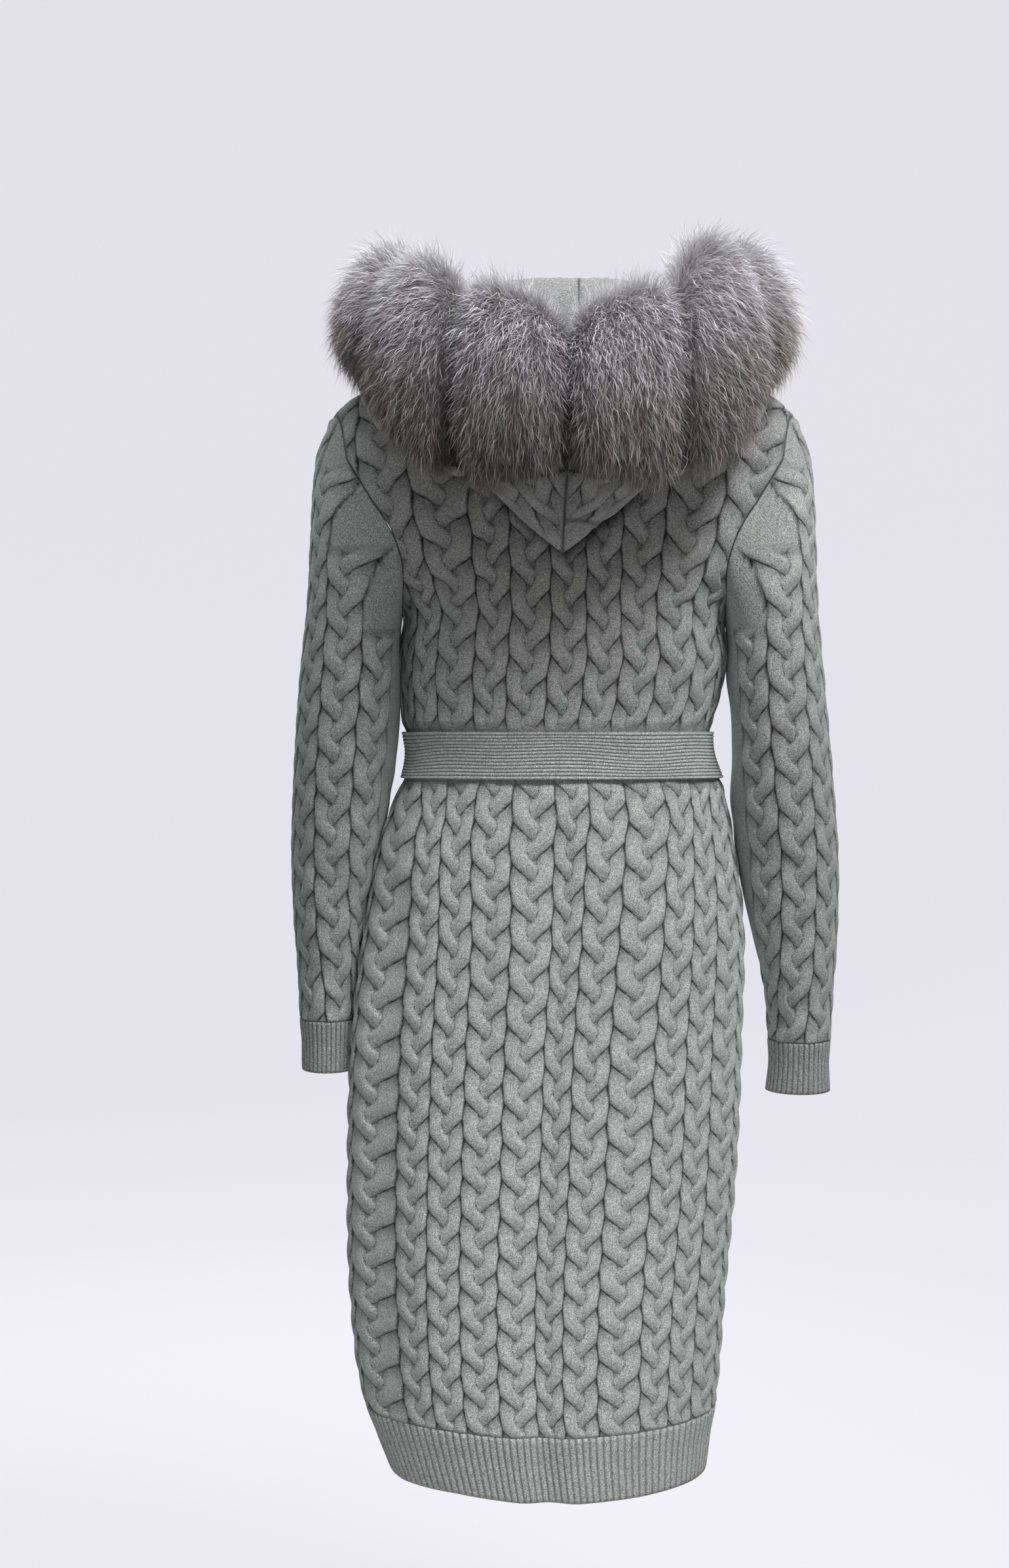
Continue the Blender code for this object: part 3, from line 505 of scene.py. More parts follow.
def square_to_seams(out, levels, shares):
    """Turn the cloth's edges square to the hem, side, shoulder and centre-front seams."""
    below = levels["edge"] == HALF_COLUMNS
    for end in (0, -1):
        if abs(shares[end]) > 0.9:
            out[below, end, 1] = 0.0
        else:
            out[:, end, 0] = 0.0
    out[0, :, 2] = 0.0
    if levels["step"][-1] > 0:
        reach = np.abs(shares) * levels["edge"][-1]
        out[-1, :, 1] *= 1 - smoothstep(0.5 * NECK_COLUMN, 0.95 * NECK_COLUMN, reach)
    else:
        out[-1, :, 2] = 0.0
    return unit(out)


def panel(facing, shares, levels):
    """Ground, outward directions and column coordinates of a body panel."""
    ground, column = panel_ground(facing, shares, levels)
    out = turned_to(normals(ground), (0, facing, 0))
    return ground, square_to_seams(out, levels, shares), column


def periods_up(ground):
    """Plait periods up a panel: each step's own length over the period's length there."""
    step = np.linalg.norm(np.diff(ground[..., 1:], axis=0), axis=-1)
    middle = (ground[1:, :, 2] + ground[:-1, :, 2]) / 2
    up = np.cumsum(step / look_up(PERIOD, middle)["length"], axis=0)
    return np.concatenate([np.zeros((1, ground.shape[1])), up])


# ---------------------------------------------------------------- meshes
def numbered(grid, first=0):
    """The numbers of a grid's points, row by row from first."""
    return np.arange(first, first + grid.shape[0] * grid.shape[1]).reshape(grid.shape[:2])


def grid_quads(index, wrap=False):
    """Quads of a grid of numbers; wrap joins each row's end to its start."""
    if wrap:
        index = np.concatenate([index, index[:, :1]], axis=1)
    return stacked(index[:-1, :-1], index[:-1, 1:], index[1:, 1:], index[1:, :-1]).reshape(-1, 4)


def caps(index, low, high):
    """Triangles from a wrapped grid's first row to one point and from its last to another."""
    return np.concatenate([stacked(np.roll(index[0], -1), index[0], low),
                           stacked(index[-1], np.roll(index[-1], -1), high)])


def cell_normals(grid):
    """Direction that each cell of a grid faces, d/dcolumn x d/drow."""
    return np.cross(grid[:-1, 1:] - grid[:-1, :-1], grid[1:, :-1] - grid[:-1, :-1])


def rim(fine, coarse, wrap=False):
    """Triangles between a fine edge and a coarse one, whose points meet every few steps.

    Each coarse step takes a triangle with its point at the middle of its fine steps, and each
    fine step takes one with its point at the nearer coarse end.
    """
    steps = len(coarse) if wrap else len(coarse) - 1
    share = (len(fine) if wrap else len(fine) - 1) // steps
    i, k = np.meshgrid(np.arange(steps), np.arange(share), indexing="ij")
    at = i * share + k
    near = i + (k >= share // 2)
    small = stacked(fine[at], fine[(at + 1) % len(fine)], coarse[near % len(coarse)])
    i = np.arange(steps)
    large = stacked(coarse[i], fine[i * share + share // 2], coarse[(i + 1) % len(coarse)])
    return np.concatenate([small.reshape(-1, 3), large])


def build_mesh(name, points, quads, triangles, uv=None, values=None):
    """Object from arrays: points, quads, triangles, each corner's UV, and each point's values."""
    mesh = bpy.data.meshes.new(name)
    corners = np.concatenate([quads.ravel(), triangles.ravel()])
    starts = np.concatenate([np.arange(len(quads)) * 4,
                             len(quads) * 4 + np.arange(len(triangles)) * 3])
    mesh.vertices.add(len(points))
    mesh.loops.add(len(corners))
    mesh.polygons.add(len(starts))
    mesh.vertices.foreach_set("co", points.astype(np.float32).ravel())
    mesh.loops.foreach_set("vertex_index", corners.astype(np.int32))
    mesh.polygons.foreach_set("loop_start", starts.astype(np.int32))
    mesh.update(calc_edges=True)
    if uv is not None:
        mesh.uv_layers.new(name="knit").data.foreach_set("uv", uv.astype(np.float32).ravel())
    for key, data in (values or {}).items():
        layer = mesh.attributes.new(key, "FLOAT", "POINT")
        layer.data.foreach_set("value", data.astype(np.float32).ravel())
    mesh.shade_smooth()
    made = bpy.data.objects.new(name, mesh)
    bpy.context.scene.collection.objects.link(made)
    return made


def cloth_shell(name, ground, out, relief, thickness, skip, uv, values, wrap=False):
    """Closed shell of cloth.

    The outer grid is ground + out * relief. The inner grid is ground - out * thickness at every
    skip-th row and column. uv holds two numbers for each grid point, with one column more than
    the grid where it wraps round. values holds numbers or grids of them.
    """
    down, across = skip
    outer = ground + out * relief[..., None]
    inner = (ground - out * thickness)[::down, ::across]
    outside = numbered(outer)
    inside = numbered(inner, outside.size)
    rims = [rim(outside[-1], inside[-1], wrap), rim(outside[0], inside[0], wrap)[:, ::-1]]
    if not wrap:
        rims += [rim(outside[:, 0], inside[:, 0]), rim(outside[:, -1], inside[:, -1])[:, ::-1]]
    quads = np.concatenate([grid_quads(outside, wrap), grid_quads(inside, wrap)[:, ::-1]])
    triangles = np.concatenate(rims)
    uv_quads = grid_quads(numbered(uv))
    if np.sum(cell_normals(outer) * out[:-1, :-1]) < 0:
        quads, triangles, uv_quads = quads[:, ::-1], triangles[:, ::-1], uv_quads[:, ::-1]
    flat = uv[:, :outer.shape[1]].reshape(-1, 2)
    near = outside[::down, ::across].ravel()
    by_point = np.concatenate([flat, flat[near]])
    rest = np.concatenate([quads[len(uv_quads):].ravel(), triangles.ravel()])
    corner_uv = np.concatenate([uv.reshape(-1, 2)[uv_quads.ravel()], by_point[rest]])
    both = np.concatenate([outside.ravel(), near])
    every = {key: np.broadcast_to(data, outside.shape).ravel()[both]
             for key, data in values.items()}
    points = np.concatenate([outer.reshape(-1, 3), inner.reshape(-1, 3)])
    return build_mesh(name, points, quads, triangles, corner_uv, every)


def round_form(name, grid, low_pole, high_pole, uv, values):
    """Closed form from a wrapped grid and a point at each end; uv has one column more."""
    index = numbered(grid)
    quads, uv_quads = grid_quads(index, True), grid_quads(numbered(uv))
    triangles = caps(index, index.size, index.size + 1)
    if np.sum(cell_normals(grid) * (grid[:-1, :-1] - grid.mean(axis=(0, 1)))) < 0:
        quads, triangles, uv_quads = quads[:, ::-1], triangles[:, ::-1], uv_quads[:, ::-1]
    by_point = np.concatenate([uv[:, :-1].reshape(-1, 2), uv[0, :1], uv[-1, :1]])
    corner_uv = np.concatenate([uv.reshape(-1, 2)[uv_quads.ravel()], by_point[triangles.ravel()]])
    points = np.concatenate([grid.reshape(-1, 3), [low_pole, high_pole]])
    every = {key: np.full(len(points), value) for key, value in values.items()}
    return build_mesh(name, points, quads, triangles, corner_uv, every)


# ---------------------------------------------------------------- materials
class Graph:
    """Short words for building a material's nodes."""

    def __init__(self, name):
        self.material = bpy.data.materials.new(name)
        self.material.use_nodes = True
        self.tree = self.material.node_tree
        self.shader = self.tree.nodes["Principled BSDF"]

    def put(self, socket, value):
        """Link a socket, or set it to a number."""
        if isinstance(value, bpy.types.NodeSocket):
            self.tree.links.new(value, socket)
        else:
            socket.default_value = value

    def surface(self, values):
        """Link or set the shader's own sockets by name."""
        for name, value in values.items():
            self.put(self.shader.inputs[name], value)

    def node(self, kind, **settings):
        """Add a node and set its settings."""
        made = self.tree.nodes.new("ShaderNode" + kind)
        for key, value in settings.items():
            setattr(made, key, value)
        return made

    def math(self, operation, *values):
        """Result of a Math node."""
        made = self.node("Math", operation=operation)
        for socket, value in zip(made.inputs, values):
            self.put(socket, value)
        return made.outputs[0]

    def times(self, first, *others):
        """Product of two values or more."""
        for value in others:
            first = self.math("MULTIPLY", first, value)
        return first

    def fit(self, value, factor, more):
        """A value times a factor, and something more."""
        return self.math("MULTIPLY_ADD", value, factor, more)

    def less(self, value):
        """What a value leaves of 1."""
        return self.math("SUBTRACT", 1.0, value)

    def ramp(self, low, high, value):
        """0 at low and 1 at high, smooth between."""
        made = self.node("MapRange", interpolation_type="SMOOTHSTEP")
        for name, item in (("Value", value), ("From Min", low), ("From Max", high)):
            self.put(made.inputs[name], item)
        return made.outputs["Result"]

    def attribute(self, name):
        """A value kept at each point."""
        return self.node("Attribute", attribute_name=name).outputs["Fac"]

    def cloth_place(self):
        """The two numbers of the piece's own UV map: across the knit and up it."""
        place = self.node("SeparateXYZ")
        self.put(place.inputs[0], self.node("UVMap", uv_map="knit").outputs["UV"])
        return place.outputs["X"], place.outputs["Y"]

    def noise(self, scale, detail=2.0):
        """Noise of about 0 to 1 in the piece's own space, in features per metre."""
        made = self.node("TexNoise")
        made.inputs["Scale"].default_value = scale
        made.inputs["Detail"].default_value = detail
        self.put(made.inputs["Vector"], self.node("TexCoord").outputs["Object"])
        return made.outputs["Fac"]

    def tinted(self, colour, tone):
        """A colour times a changing tone."""
        made = self.node("VectorMath", operation="SCALE")
        self.put(made.inputs[0], colour)
        self.put(made.inputs["Scale"], tone)
        return made.outputs["Vector"]

    def mix(self, factor, one, two, blend="MIX"):
        """Colour between two colours."""
        made = self.node("Mix", data_type="RGBA", blend_type=blend)
        for number, value in ((0, factor), (6, one), (7, two)):
            self.put(made.inputs[number], value)
        return made.outputs[2]

    def bump(self, height):
        """Bump from a height in metres."""
        made = self.node("Bump")
        for name, value in (("Strength", 1.0), ("Distance", 1.0), ("Height", height)):
            self.put(made.inputs[name], value)
        return made.outputs["Normal"]

    def melange(self, amount):
        """Tone of mixed fibres: fine flecks, patches of a few millimetres and slow drifts."""
        fleck = self.fit(self.ramp(0.34, 0.66, self.noise(FLECKS, 1.0)), amount, 1 - amount / 2)
        patch = self.fit(self.noise(PATCHES), 0.80, 0.60)
        slow = self.fit(self.noise(DRIFTS), 0.24, 0.88)
        return self.times(fleck, patch, slow)


def plait_nodes(graph, column, period):
    """The same plait as nodes: its height, nearness to a crease, way across the top strand, and
    distance to the column's edge.
    """
    math, times, fit, less = graph.math, graph.times, graph.fit, graph.less
    whole = times(period, 2 * pi)
    wave, steep = math("SINE", whole), math("COSINE", whole)
    lobe = less(math("COSINE", times(column, 2 * pi)))
    moved = fit(times(wave, ZIGZAG / 2), lobe, column)
    place = math("SUBTRACT", moved, math("ROUND", moved))
    heights, ways, calms = [], [], []
    for strand in range(3):
        turn = fit(period, 2 * pi / 3, 2 * pi / 3 * strand)
        middle = times(SWING, fit(wave, SQUARE, math("SINE", turn)))
        off = math("SUBTRACT", place, middle)
        twice = math("SINE", times(turn, 2.0))
        far = math("ABSOLUTE", middle)
        under = times(graph.ramp(0.0, -1 / 3, twice), graph.ramp(0.125, 0.25, far))
        slope = fit(steep, 3 * SQUARE * SLANT, times(math("COSINE", turn), SLANT))
        half = times(HALF_STRAND, math("SQRT", fit(slope, slope, 1.0)))
        room = math("SUBTRACT", math("SUBTRACT", 0.5, far), half)
        outer = math("GREATER_THAN", times(off, middle), 0.0)
        wider = times(under, outer, math("MAXIMUM", room, 0.0))
        across = math("DIVIDE", off, math("ADD", half, wider))
        reach = math("ABSOLUTE", across)
        arch = math("SQRT", math("MAXIMUM", less(math("POWER", reach, ARCH)), 0.0))
        rise = fit(twice, LIFT, arch)
        inside = math("LESS_THAN", reach, 1.0)
        heights.append(times(inside, math("SUBTRACT", rise, GROUND)))
        ways.append(across)
        calms.append(times(less(outer), less(under)))
    first, second, third = heights
    both = math("MAXIMUM", first, second)
    top = math("MAXIMUM", both, third)
    lower = math("MAXIMUM", math("MINIMUM", first, second), math("MINIMUM", both, third))
    crease = less(graph.ramp(0.0, 0.48, math("SUBTRACT", top, lower)))
    way = calm = 0.0
    for height, across, still in zip(heights, ways, calms):
        chosen = math("GREATER_THAN", height, math("SUBTRACT", top, 1e-4))
        way, calm = fit(chosen, across, way), fit(chosen, still, calm)
    edge = math("SUBTRACT", 0.5, math("ABSOLUTE", place))
    # the crease is weaker on a strand's inner edge: its painted shade falls on the outer edges
    return top, times(crease, fit(calm, -0.75, 1.0)), way, edge


def knit_material(graph):
    """Plaited grey knit: strands, painted shade in the creases, fine stitches and mixed fibres."""
    math, times, fit, less, ramp = graph.math, graph.times, graph.fit, graph.less, graph.ramp
    knit = bpy.context.scene.cardigan_knit
    column, period = graph.cloth_place()
    plaited = graph.attribute("plait")
    top, crease, way, side = plait_nodes(graph, column, period)
    # painted light and shade: dark in the creases, holes and column edges, light on the strands
    body = fit(ramp(0.10, 1.25, top), 0.42, 0.60)
    line = less(ramp(0.0, 0.04, side))
    crease_and_edge_shade = times(fit(crease, -0.96, 1.0), fit(line, -0.70, 1.0))
    hole_shade = fit(ramp(0.0, 0.25, top), 0.32, 0.68)
    tone = math("ADD", times(body, crease_and_edge_shade, hole_shade, plaited), times(less(plaited), 0.84))
    # fine wales: along each strand of the plait, straight up on the plain knit
    density = COLUMN_WIDTH / knit.stitch
    lane = math("ADD", times(way, WALES, plaited), times(column, density, less(plaited)))
    across = math("PINGPONG", lane, 0.5)
    row = fit(across, 1.2, times(period, density * 1.2))
    stitch = math("PINGPONG", row, 0.5)
    rungs = fit(across, 0.10, fit(stitch, 0.16, 0.93))
    relief = times(top, plaited, knit.relief * BUMP_RELIEF)
    fine = fit(across, 0.00030, times(stitch, 0.00035))
    return finish_yarn(graph, times(tone, rungs), math("ADD", relief, fine))


def rib_material(graph):
    """Ribbed grey knit: round ribs, painted shade in the furrows, and V stitches along each rib.
    """
    math, times, fit = graph.math, graph.times, graph.fit
    count, up = graph.cloth_place()
    rib = times(math("PINGPONG", count, 0.5), 2.0)
    row = math("PINGPONG", fit(rib, 0.5, up), 0.5)
    furrow = graph.ramp(0.05, 0.55, rib)
    # the furrows between the ribs are painted darker, as shade
    tone = times(fit(furrow, 0.44, 0.58), fit(row, 0.28, 0.86))
    return finish_yarn(graph, tone, fit(furrow, 0.0005, times(row, 0.0004)))


def finish_yarn(graph, tone, height):
    """What both knits share: mixed fibres, painted shade at seams and elsewhere, fuzz, and a matt,
    napped yarn.

    The seam's tone is 1 away from a sewn edge and painted darker in its groove, as shade; it also
    paints shadow lines along the hood's folds and under them, and along the fronts' opening. The
    shade value is painted shade, where cloth or fur close by keeps light away, and on the sleeves
    and cuffs.
    """
    knit = bpy.context.scene.cardigan_knit
    painted_groove_shade = graph.fit(graph.ramp(0.0, 0.0022, graph.attribute("edge")), 0.62, 0.38)
    tone = graph.times(tone, graph.melange(knit.melange), painted_groove_shade,
                       graph.less(graph.attribute("shade")))
    fuzz = graph.fit(graph.noise(FUZZ), FUZZ_HEIGHT, height)
    graph.surface({"Base Color": graph.tinted(tuple(knit.yarn), tone), "Normal": graph.bump(fuzz),
                   "Roughness": 0.92, "Specular IOR Level": 0.18, "Sheen Weight": 0.35,
                   "Sheen Roughness": 0.55, "Sheen Tint": (0.95, 0.97, 1.0, 1.0)})
    return graph.material


def fur_material(graph):
    """Grey fur: each hair is dark at its root, pale toward its tip, browner low on the trim."""
    fur = bpy.context.scene.cardigan_fur
    tip, tone, low = (graph.attribute(key) for key in ("tip", "tone", "low"))
    along = graph.mix(graph.ramp(0.05, 0.9, tip), (*fur.root, 1.0), (*fur.tip, 1.0))
    warm = graph.mix(1.0, along, (*fur.underside, 1.0), "MULTIPLY")
    hair = graph.mix(graph.times(low, 0.8), along, warm)
    graph.surface({"Base Color": graph.tinted(hair, graph.fit(tone, 0.9, 0.55)),
                   "Roughness": graph.fit(tone, 0.15, 0.50), "Specular IOR Level": 0.35,
                   "Sheen Weight": 0.25, "Sheen Roughness": 0.4})
    return graph.material


def paper_material(graph):
    """Pale matt paper with a faint unevenness, and a glow of its own."""
    stage = bpy.context.scene.cardigan_stage
    tone = graph.times(graph.fit(graph.noise(0.8), 0.03, 0.985), 0.24)
    graph.surface({"Base Color": graph.tinted(tuple(stage.paper), tone), "Roughness": 0.95,
                   "Specular IOR Level": 0.05, "Emission Color": (*stage.paper, 1.0),
                   "Emission Strength": stage.glow})
    return graph.material


# Each slot's material: its name and what makes it.
FINISHES = {"knit": ("plaited_knit", knit_material), "rib": ("ribbed_knit", rib_material),
            "fur": ("grey_fur", fur_material)}


def finish_piece(piece, slot, *nodes):
    """Give a piece its slot's material, and let it ride in place of the named solids."""
    name, make = FINISHES[slot]
    piece.data.materials.append(bpy.data.materials.get(name) or make(Graph(name)))
    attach(piece, "root")
    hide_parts(*nodes)


# ---------------------------------------------------------------- settings
class CardiganKnit(bpy.types.PropertyGroup):
    """Sizes and colour of the knit."""
    yarn: bpy.props.FloatVectorProperty(
        name="Yarn colour", description="Colour of the melange yarn", subtype="COLOR",
        default=(0.46, 0.472, 0.472), min=0.0, max=1.0)
    melange: bpy.props.FloatProperty(
        name="Melange", description="Contrast between the light and the dark fibres",
        default=0.80, min=0.0, max=1.0, subtype="FACTOR")
    relief: bpy.props.FloatProperty(
        name="Plait relief", description="Height of one strand of the plait over the ground",
        default=0.0032, min=0.0, max=0.005, unit="LENGTH", precision=4)
    rib: bpy.props.FloatProperty(
        name="Rib relief", description="Height of one rib of the hem and cuffs",
        default=0.0013, min=0.0, max=0.003, unit="LENGTH", precision=4)
    stitch: bpy.props.FloatProperty(
        name="Stitch", description="Width of one stitch of the fine knit",
        default=0.0017, min=0.0005, max=0.01, unit="LENGTH", precision=4)


class CardiganFur(bpy.types.PropertyGroup):
    """Sizes and colours of the fur."""
    hairs: bpy.props.IntProperty(
        name="Hairs", description="Locks of hair on each length of fur", default=23000, min=100,
        max=40000)
    length: bpy.props.FloatProperty(
        name="Hair length", description="Usual length of the hair", default=0.029, min=0.005,
        max=0.08, unit="LENGTH")
    width: bpy.props.FloatProperty(
        name="Lock width", description="Width of one lock at its root", default=0.0005,
        min=0.0001, max=0.004, unit="LENGTH", precision=4)
    root: bpy.props.FloatVectorProperty(
        name="Root colour", description="Colour of the hair at its root", subtype="COLOR",
        default=(0.26, 0.252, 0.262), min=0.0, max=1.0)
    tip: bpy.props.FloatVectorProperty(
        name="Tip colour", description="Colour of the hair at its tip", subtype="COLOR",
        default=(0.58, 0.578, 0.615), min=0.0, max=1.0)
    underside: bpy.props.FloatVectorProperty(
        name="Underside", description="Tint of the hair low on the trim", subtype="COLOR",
        default=(0.60, 0.52, 0.44), min=0.0, max=1.0)


class CardiganStage(bpy.types.PropertyGroup):
    """The floor, the lights and the camera."""
    floor: bpy.props.FloatProperty(
        name="Floor", description="Height of the floor", default=-1.45, unit="LENGTH")
    radius: bpy.props.FloatProperty(
        name="Room", description="Radius of the flat floor, before it curves up into the wall",
        default=2.6, min=1.0, max=10.0, unit="LENGTH")
    paper: bpy.props.FloatVectorProperty(
        name="Paper colour", description="Colour of the floor and the wall", subtype="COLOR",
        default=(0.80, 0.79, 0.86), min=0.0, max=1.0)
    glow: bpy.props.FloatProperty(
        name="Glow", description="Light that the paper gives of itself", default=0.86, min=0.0,
        max=4.0)
    key: bpy.props.FloatProperty(
        name="Key light", description="Power of the large soft light above the camera",
        default=110.0, min=0.0, max=2000.0, unit="POWER")
    top: bpy.props.FloatProperty(
        name="Top light", description="Power of the soft light overhead", default=36.0, min=0.0,
        max=2000.0, unit="POWER")
    low: bpy.props.FloatProperty(
        name="Low light", description="Power of the soft light thrown back up by the floor",
        default=2.4, min=0.0, max=2000.0, unit="POWER")
    front: bpy.props.FloatProperty(
        name="Front light", description="Power of the soft light on the side away from the camera",
        default=38.0, min=0.0, max=2000.0, unit="POWER")
    ambient: bpy.props.FloatProperty(
        name="Ambient", description="Strength of the light from all round", default=0.185, min=0.0,
        max=10.0)
    lens: bpy.props.FloatProperty(
        name="Lens", description="Focal length of the camera, in millimetres", default=55.28,
        min=10.0, max=300.0)


# ---------------------------------------------------------------- pieces of knit
def near_seams(levels, column):
    """Distance in metres to the nearest sewn edge of a body panel: its sides, top or bottom."""
    side = (levels["edge"][:, None] - np.abs(column)) * COLUMN_WIDTH
    low = levels["path"][:, None] + SEAM_STEP
    top = (levels["path"][-1] - levels["path"])[:, None]
    return np.minimum(np.minimum(np.minimum(side, top), low), FAR)


def under_belt(z):
    """1 in the open, less where the belt presses on the knit."""
    low, high = BELT_LOW_Z, BELT_TOP_Z
    return 1 - 0.8 * smoothstep(low - 0.012, low + 0.002, z) * (
        1 - smoothstep(high - 0.002, high + 0.012, z))


def hood_foot(x):
    """Height of the hood's lowest fold over a point of the back; painted shade lies below it."""
    across = HOOD["low_radius"][:6] * np.sin(np.radians(HOOD["azimuth"][:6]))
    return np.interp(np.abs(x), across, HOOD["low_z"][:6])


def panel_shade(ground, column, facing):
    """Painted shade above the belt: a little all over, more beside the arms and below the hood."""
    z = ground[..., 2]
    above = smoothstep(-0.41, -0.33, z)
    beside = (SHADE_LEFT_ARM * smoothstep(4.0, 5.0, column)
              + SHADE_RIGHT_ARM * smoothstep(4.9, 5.9, -column))
    beside = beside * smoothstep(-0.41, -0.37, z) * (1 - smoothstep(-0.24, -0.16, z))
    below = hood_foot(ground[..., 0]) + 0.006 - z
    under = SHADE_UNDER_HOOD * smoothstep(-0.005, 0.001, below) * (
        1 - smoothstep(0.004, 0.026, below))
    return np.clip(SHADE_ABOVE_BELT * above + (beside + under) * (facing > 0), 0, 1)


def rib_relief(rib, count, ends, swell):
    """Ribs of height rib, flatter where ends is 0, and a swell where they meet the knit."""
    return rib * (ridges(count) - 0.5) * (0.4 + 0.6 * ends) + swell


class CARDIGAN_OT_panels(bpy.types.Operator):
    """Knit the back and the two fronts in plaited columns."""
    bl_idname = "cardigan.panels"
    bl_label = "Back and fronts"

    def execute(self, context):
        knit = context.scene.cardigan_knit
        band = SEAM / 2 / NECK_HALF_WIDTH       # leaves the two fronts a seam apart
        half = np.linspace(band, 1, FRONT_GRID[1])
        back, front = body_levels(BACK_GRID[0]), body_levels(FRONT_GRID[0])
        for name, facing, shares, levels, size in (
                ("back", 1, np.linspace(-1, 1, BACK_GRID[1]), back, (0.53, 1.02)),
                ("front_left", -1, half, front, (0.29, 1.00)),
                ("front_right", -1, -half, front, (0.29, 1.00))):
            ground, out, column = panel(facing, shares, levels)
            z, period = ground[..., 2], periods_up(ground)
            edge = seam = near_seams(levels, column)
            if facing > 0:
                # a soft line of painted shadow lies on the back just under the hood's fold
                place, plaited = drifted(column, z), 1.0
                edge = np.minimum(edge, np.abs(z - 0.003 - hood_foot(ground[..., 0])) / 3.2)
            else:
                # the fronts are plain beside their opening, for half a column
                reach = np.abs(column)
                place = np.sign(column) * (reach - 0.5) + 0.5
                plaited = smoothstep(0.45, 0.52, reach)
                # the seam tone also paints a line of shade along the opening, where the fronts
                # meet
                edge = seam = np.minimum(edge, 0.0006 + reach * COLUMN_WIDTH)
            plaited = plaited * smoothstep(0.0, SEAM_WIDTH, seam) * under_belt(z)
            piece = cloth_shell("knit_" + name, ground, out,
                                knit.relief * plait(place, period) * plaited, CLOTH, KNIT_SKIP,
                                stacked(place, period),
                                {"plait": plaited, "edge": edge,
                                 "shade": panel_shade(ground, column, facing)})
            finish_piece(piece, "knit", name)
        return {"FINISHED"}


class CARDIGAN_OT_hem(bpy.types.Operator):
    """Knit the ribbed hem under the back and the fronts."""
    bl_idname = "cardigan.hem"
    bl_label = "Ribbed hem"

    def execute(self, context):
        knit = context.scene.cardigan_knit
        high = np.linspace(HEM_Z, RIB_TOP, RIB_ROWS)
        levels = {"z": high, "path": high - HEM_Z, "step": 0 * high,
                  "edge": np.full(RIB_ROWS, HALF_COLUMNS)}
        rise = levels["path"][:, None]
        below = RIB_TOP - HEM_Z - rise
        swell = 0.0022 * (1 - smoothstep(0.0, 0.030, below))
        for name, facing, low, side, ribs, wide in (
                ("back", 1, -1.0, 1, HEM_RIBS, 0.43),
                ("front_left", -1, 0.002, 1, HEM_RIBS // 2, 0.22),
                ("front_right", -1, 0.002, -1, HEM_RIBS // 2, 0.22)):
            points = ribs * HEM_STEPS + 1
            ground, out, _ = panel(facing, side * np.linspace(low, 1, points), levels)
            count = np.linspace(0, ribs, points)[None, :]
            relief = rib_relief(knit.rib, count, smoothstep(0, 0.004, rise), swell)
            piece = cloth_shell("rib_hem_" + name, ground, out, relief, RIB_CLOTH, HEM_SKIP,
                                stacked(count, rise / knit.stitch),
                                {"edge": np.minimum(below + SEAM_STEP + 0.0001, FAR),
                                 "shade": 0.0})
            finish_piece(piece, "rib", "hem_" + name)
        return {"FINISHED"}


# ---------------------------------------------------------------- sleeves
def sleeve_section(station, side, angle):
    """Ellipses from inner edge (angle pi) to outer edge (angle 0), one for each station.

    A point is the middle of the two edges, plus cos(angle) of half the way between them, plus
    sin(angle) of the half depth.
    """
    word = dict(SIDES)[side]
    value = look_up(SLEEVE, station)
    drop = RIGHT_SLEEVE_EXTRA * smoothstep(1.0, SLEEVE["station"][-1], station) * (side < 0)
    out = stacked(side * value["out_" + word], 0.0, value["out_z"] - drop)
    inn = stacked(side * value["in_" + word], 0.0, value["in_z"] - drop)
    middle = (out + inn) / 2 + stacked(0.0, value["centre_y"], 0.0)
    deep = stacked(0.0, value["half_depth"], 0.0)
    turn = angle[None, :, None]
    return (middle[:, None] + np.cos(turn) * ((out - inn) / 2)[:, None]
            + np.sin(turn) * deep[:, None])


def sleeve_rings(stations, side, angle):
    """Rings down a sleeve: ellipses, and near the shoulder the armhole's own loop fading in."""
    levels = body_levels(400)
    start = np.argmax(levels["z"] >= UNDERARM_Z)
    shares = np.array([0.99, 1.0]) * side
    back, front = (panel_ground(facing, shares, levels)[0][start:, -1] for facing in (1, -1))
    loop = np.concatenate([back, front[:0:-1]])
    first = sleeve_section(np.array([0.0]), side, np.array([0.0, pi / 2, pi]))[0]
    middle = (first[0] + first[2]) / 2
    along, deep = first[0] - middle, first[1] - middle
    away = loop - middle
    found = np.arctan2(away @ deep / (deep @ deep), away @ along / (along @ along))
    order = np.argsort(found)
    misfit = loop - sleeve_section(np.array([0.0]), side, found)[0]
    wide = stacked(*(np.interp(angle, found[order], misfit[order, axis], period=2 * pi)
                     for axis in range(3)))
    fade = 1 - smoothstep(0, 2.0, stations)
    return sleeve_section(stations, side, angle) + wide[None] * fade[:, None, None]


def round_columns(rings, width):
    """Column coordinate round each ring: level distance from the outer edge over the width."""
    closed = np.concatenate([rings, rings[:, :1]], axis=1)
    step = np.linalg.norm(np.diff(closed[..., :2], axis=1), axis=-1)
    round_up = np.concatenate([np.zeros((len(rings), 1)), np.cumsum(step, axis=1)], axis=1)
    middle = round_up[:, rings.shape[1] // 2][:, None]
    return (round_up - middle) / width[:, None]


def sleeve_dents(stations, angle, side):
    """Creases of one sleeve: -depth * exp(-(off / width)^2 - (turn / length)^2), summed."""
    dent = np.zeros((len(stations), len(angle)))
    for where, station, round_at, length, width, depth, slant in zip(*SLEEVE_CREASES.values()):
        if where == side:
            turn = (angle[None, :] - round_at + pi) % (2 * pi) - pi
            off = (stations[:, None] - station - slant * turn) / width
            dent -= depth * np.exp(-off ** 2 - (turn / length) ** 2)
    return dent


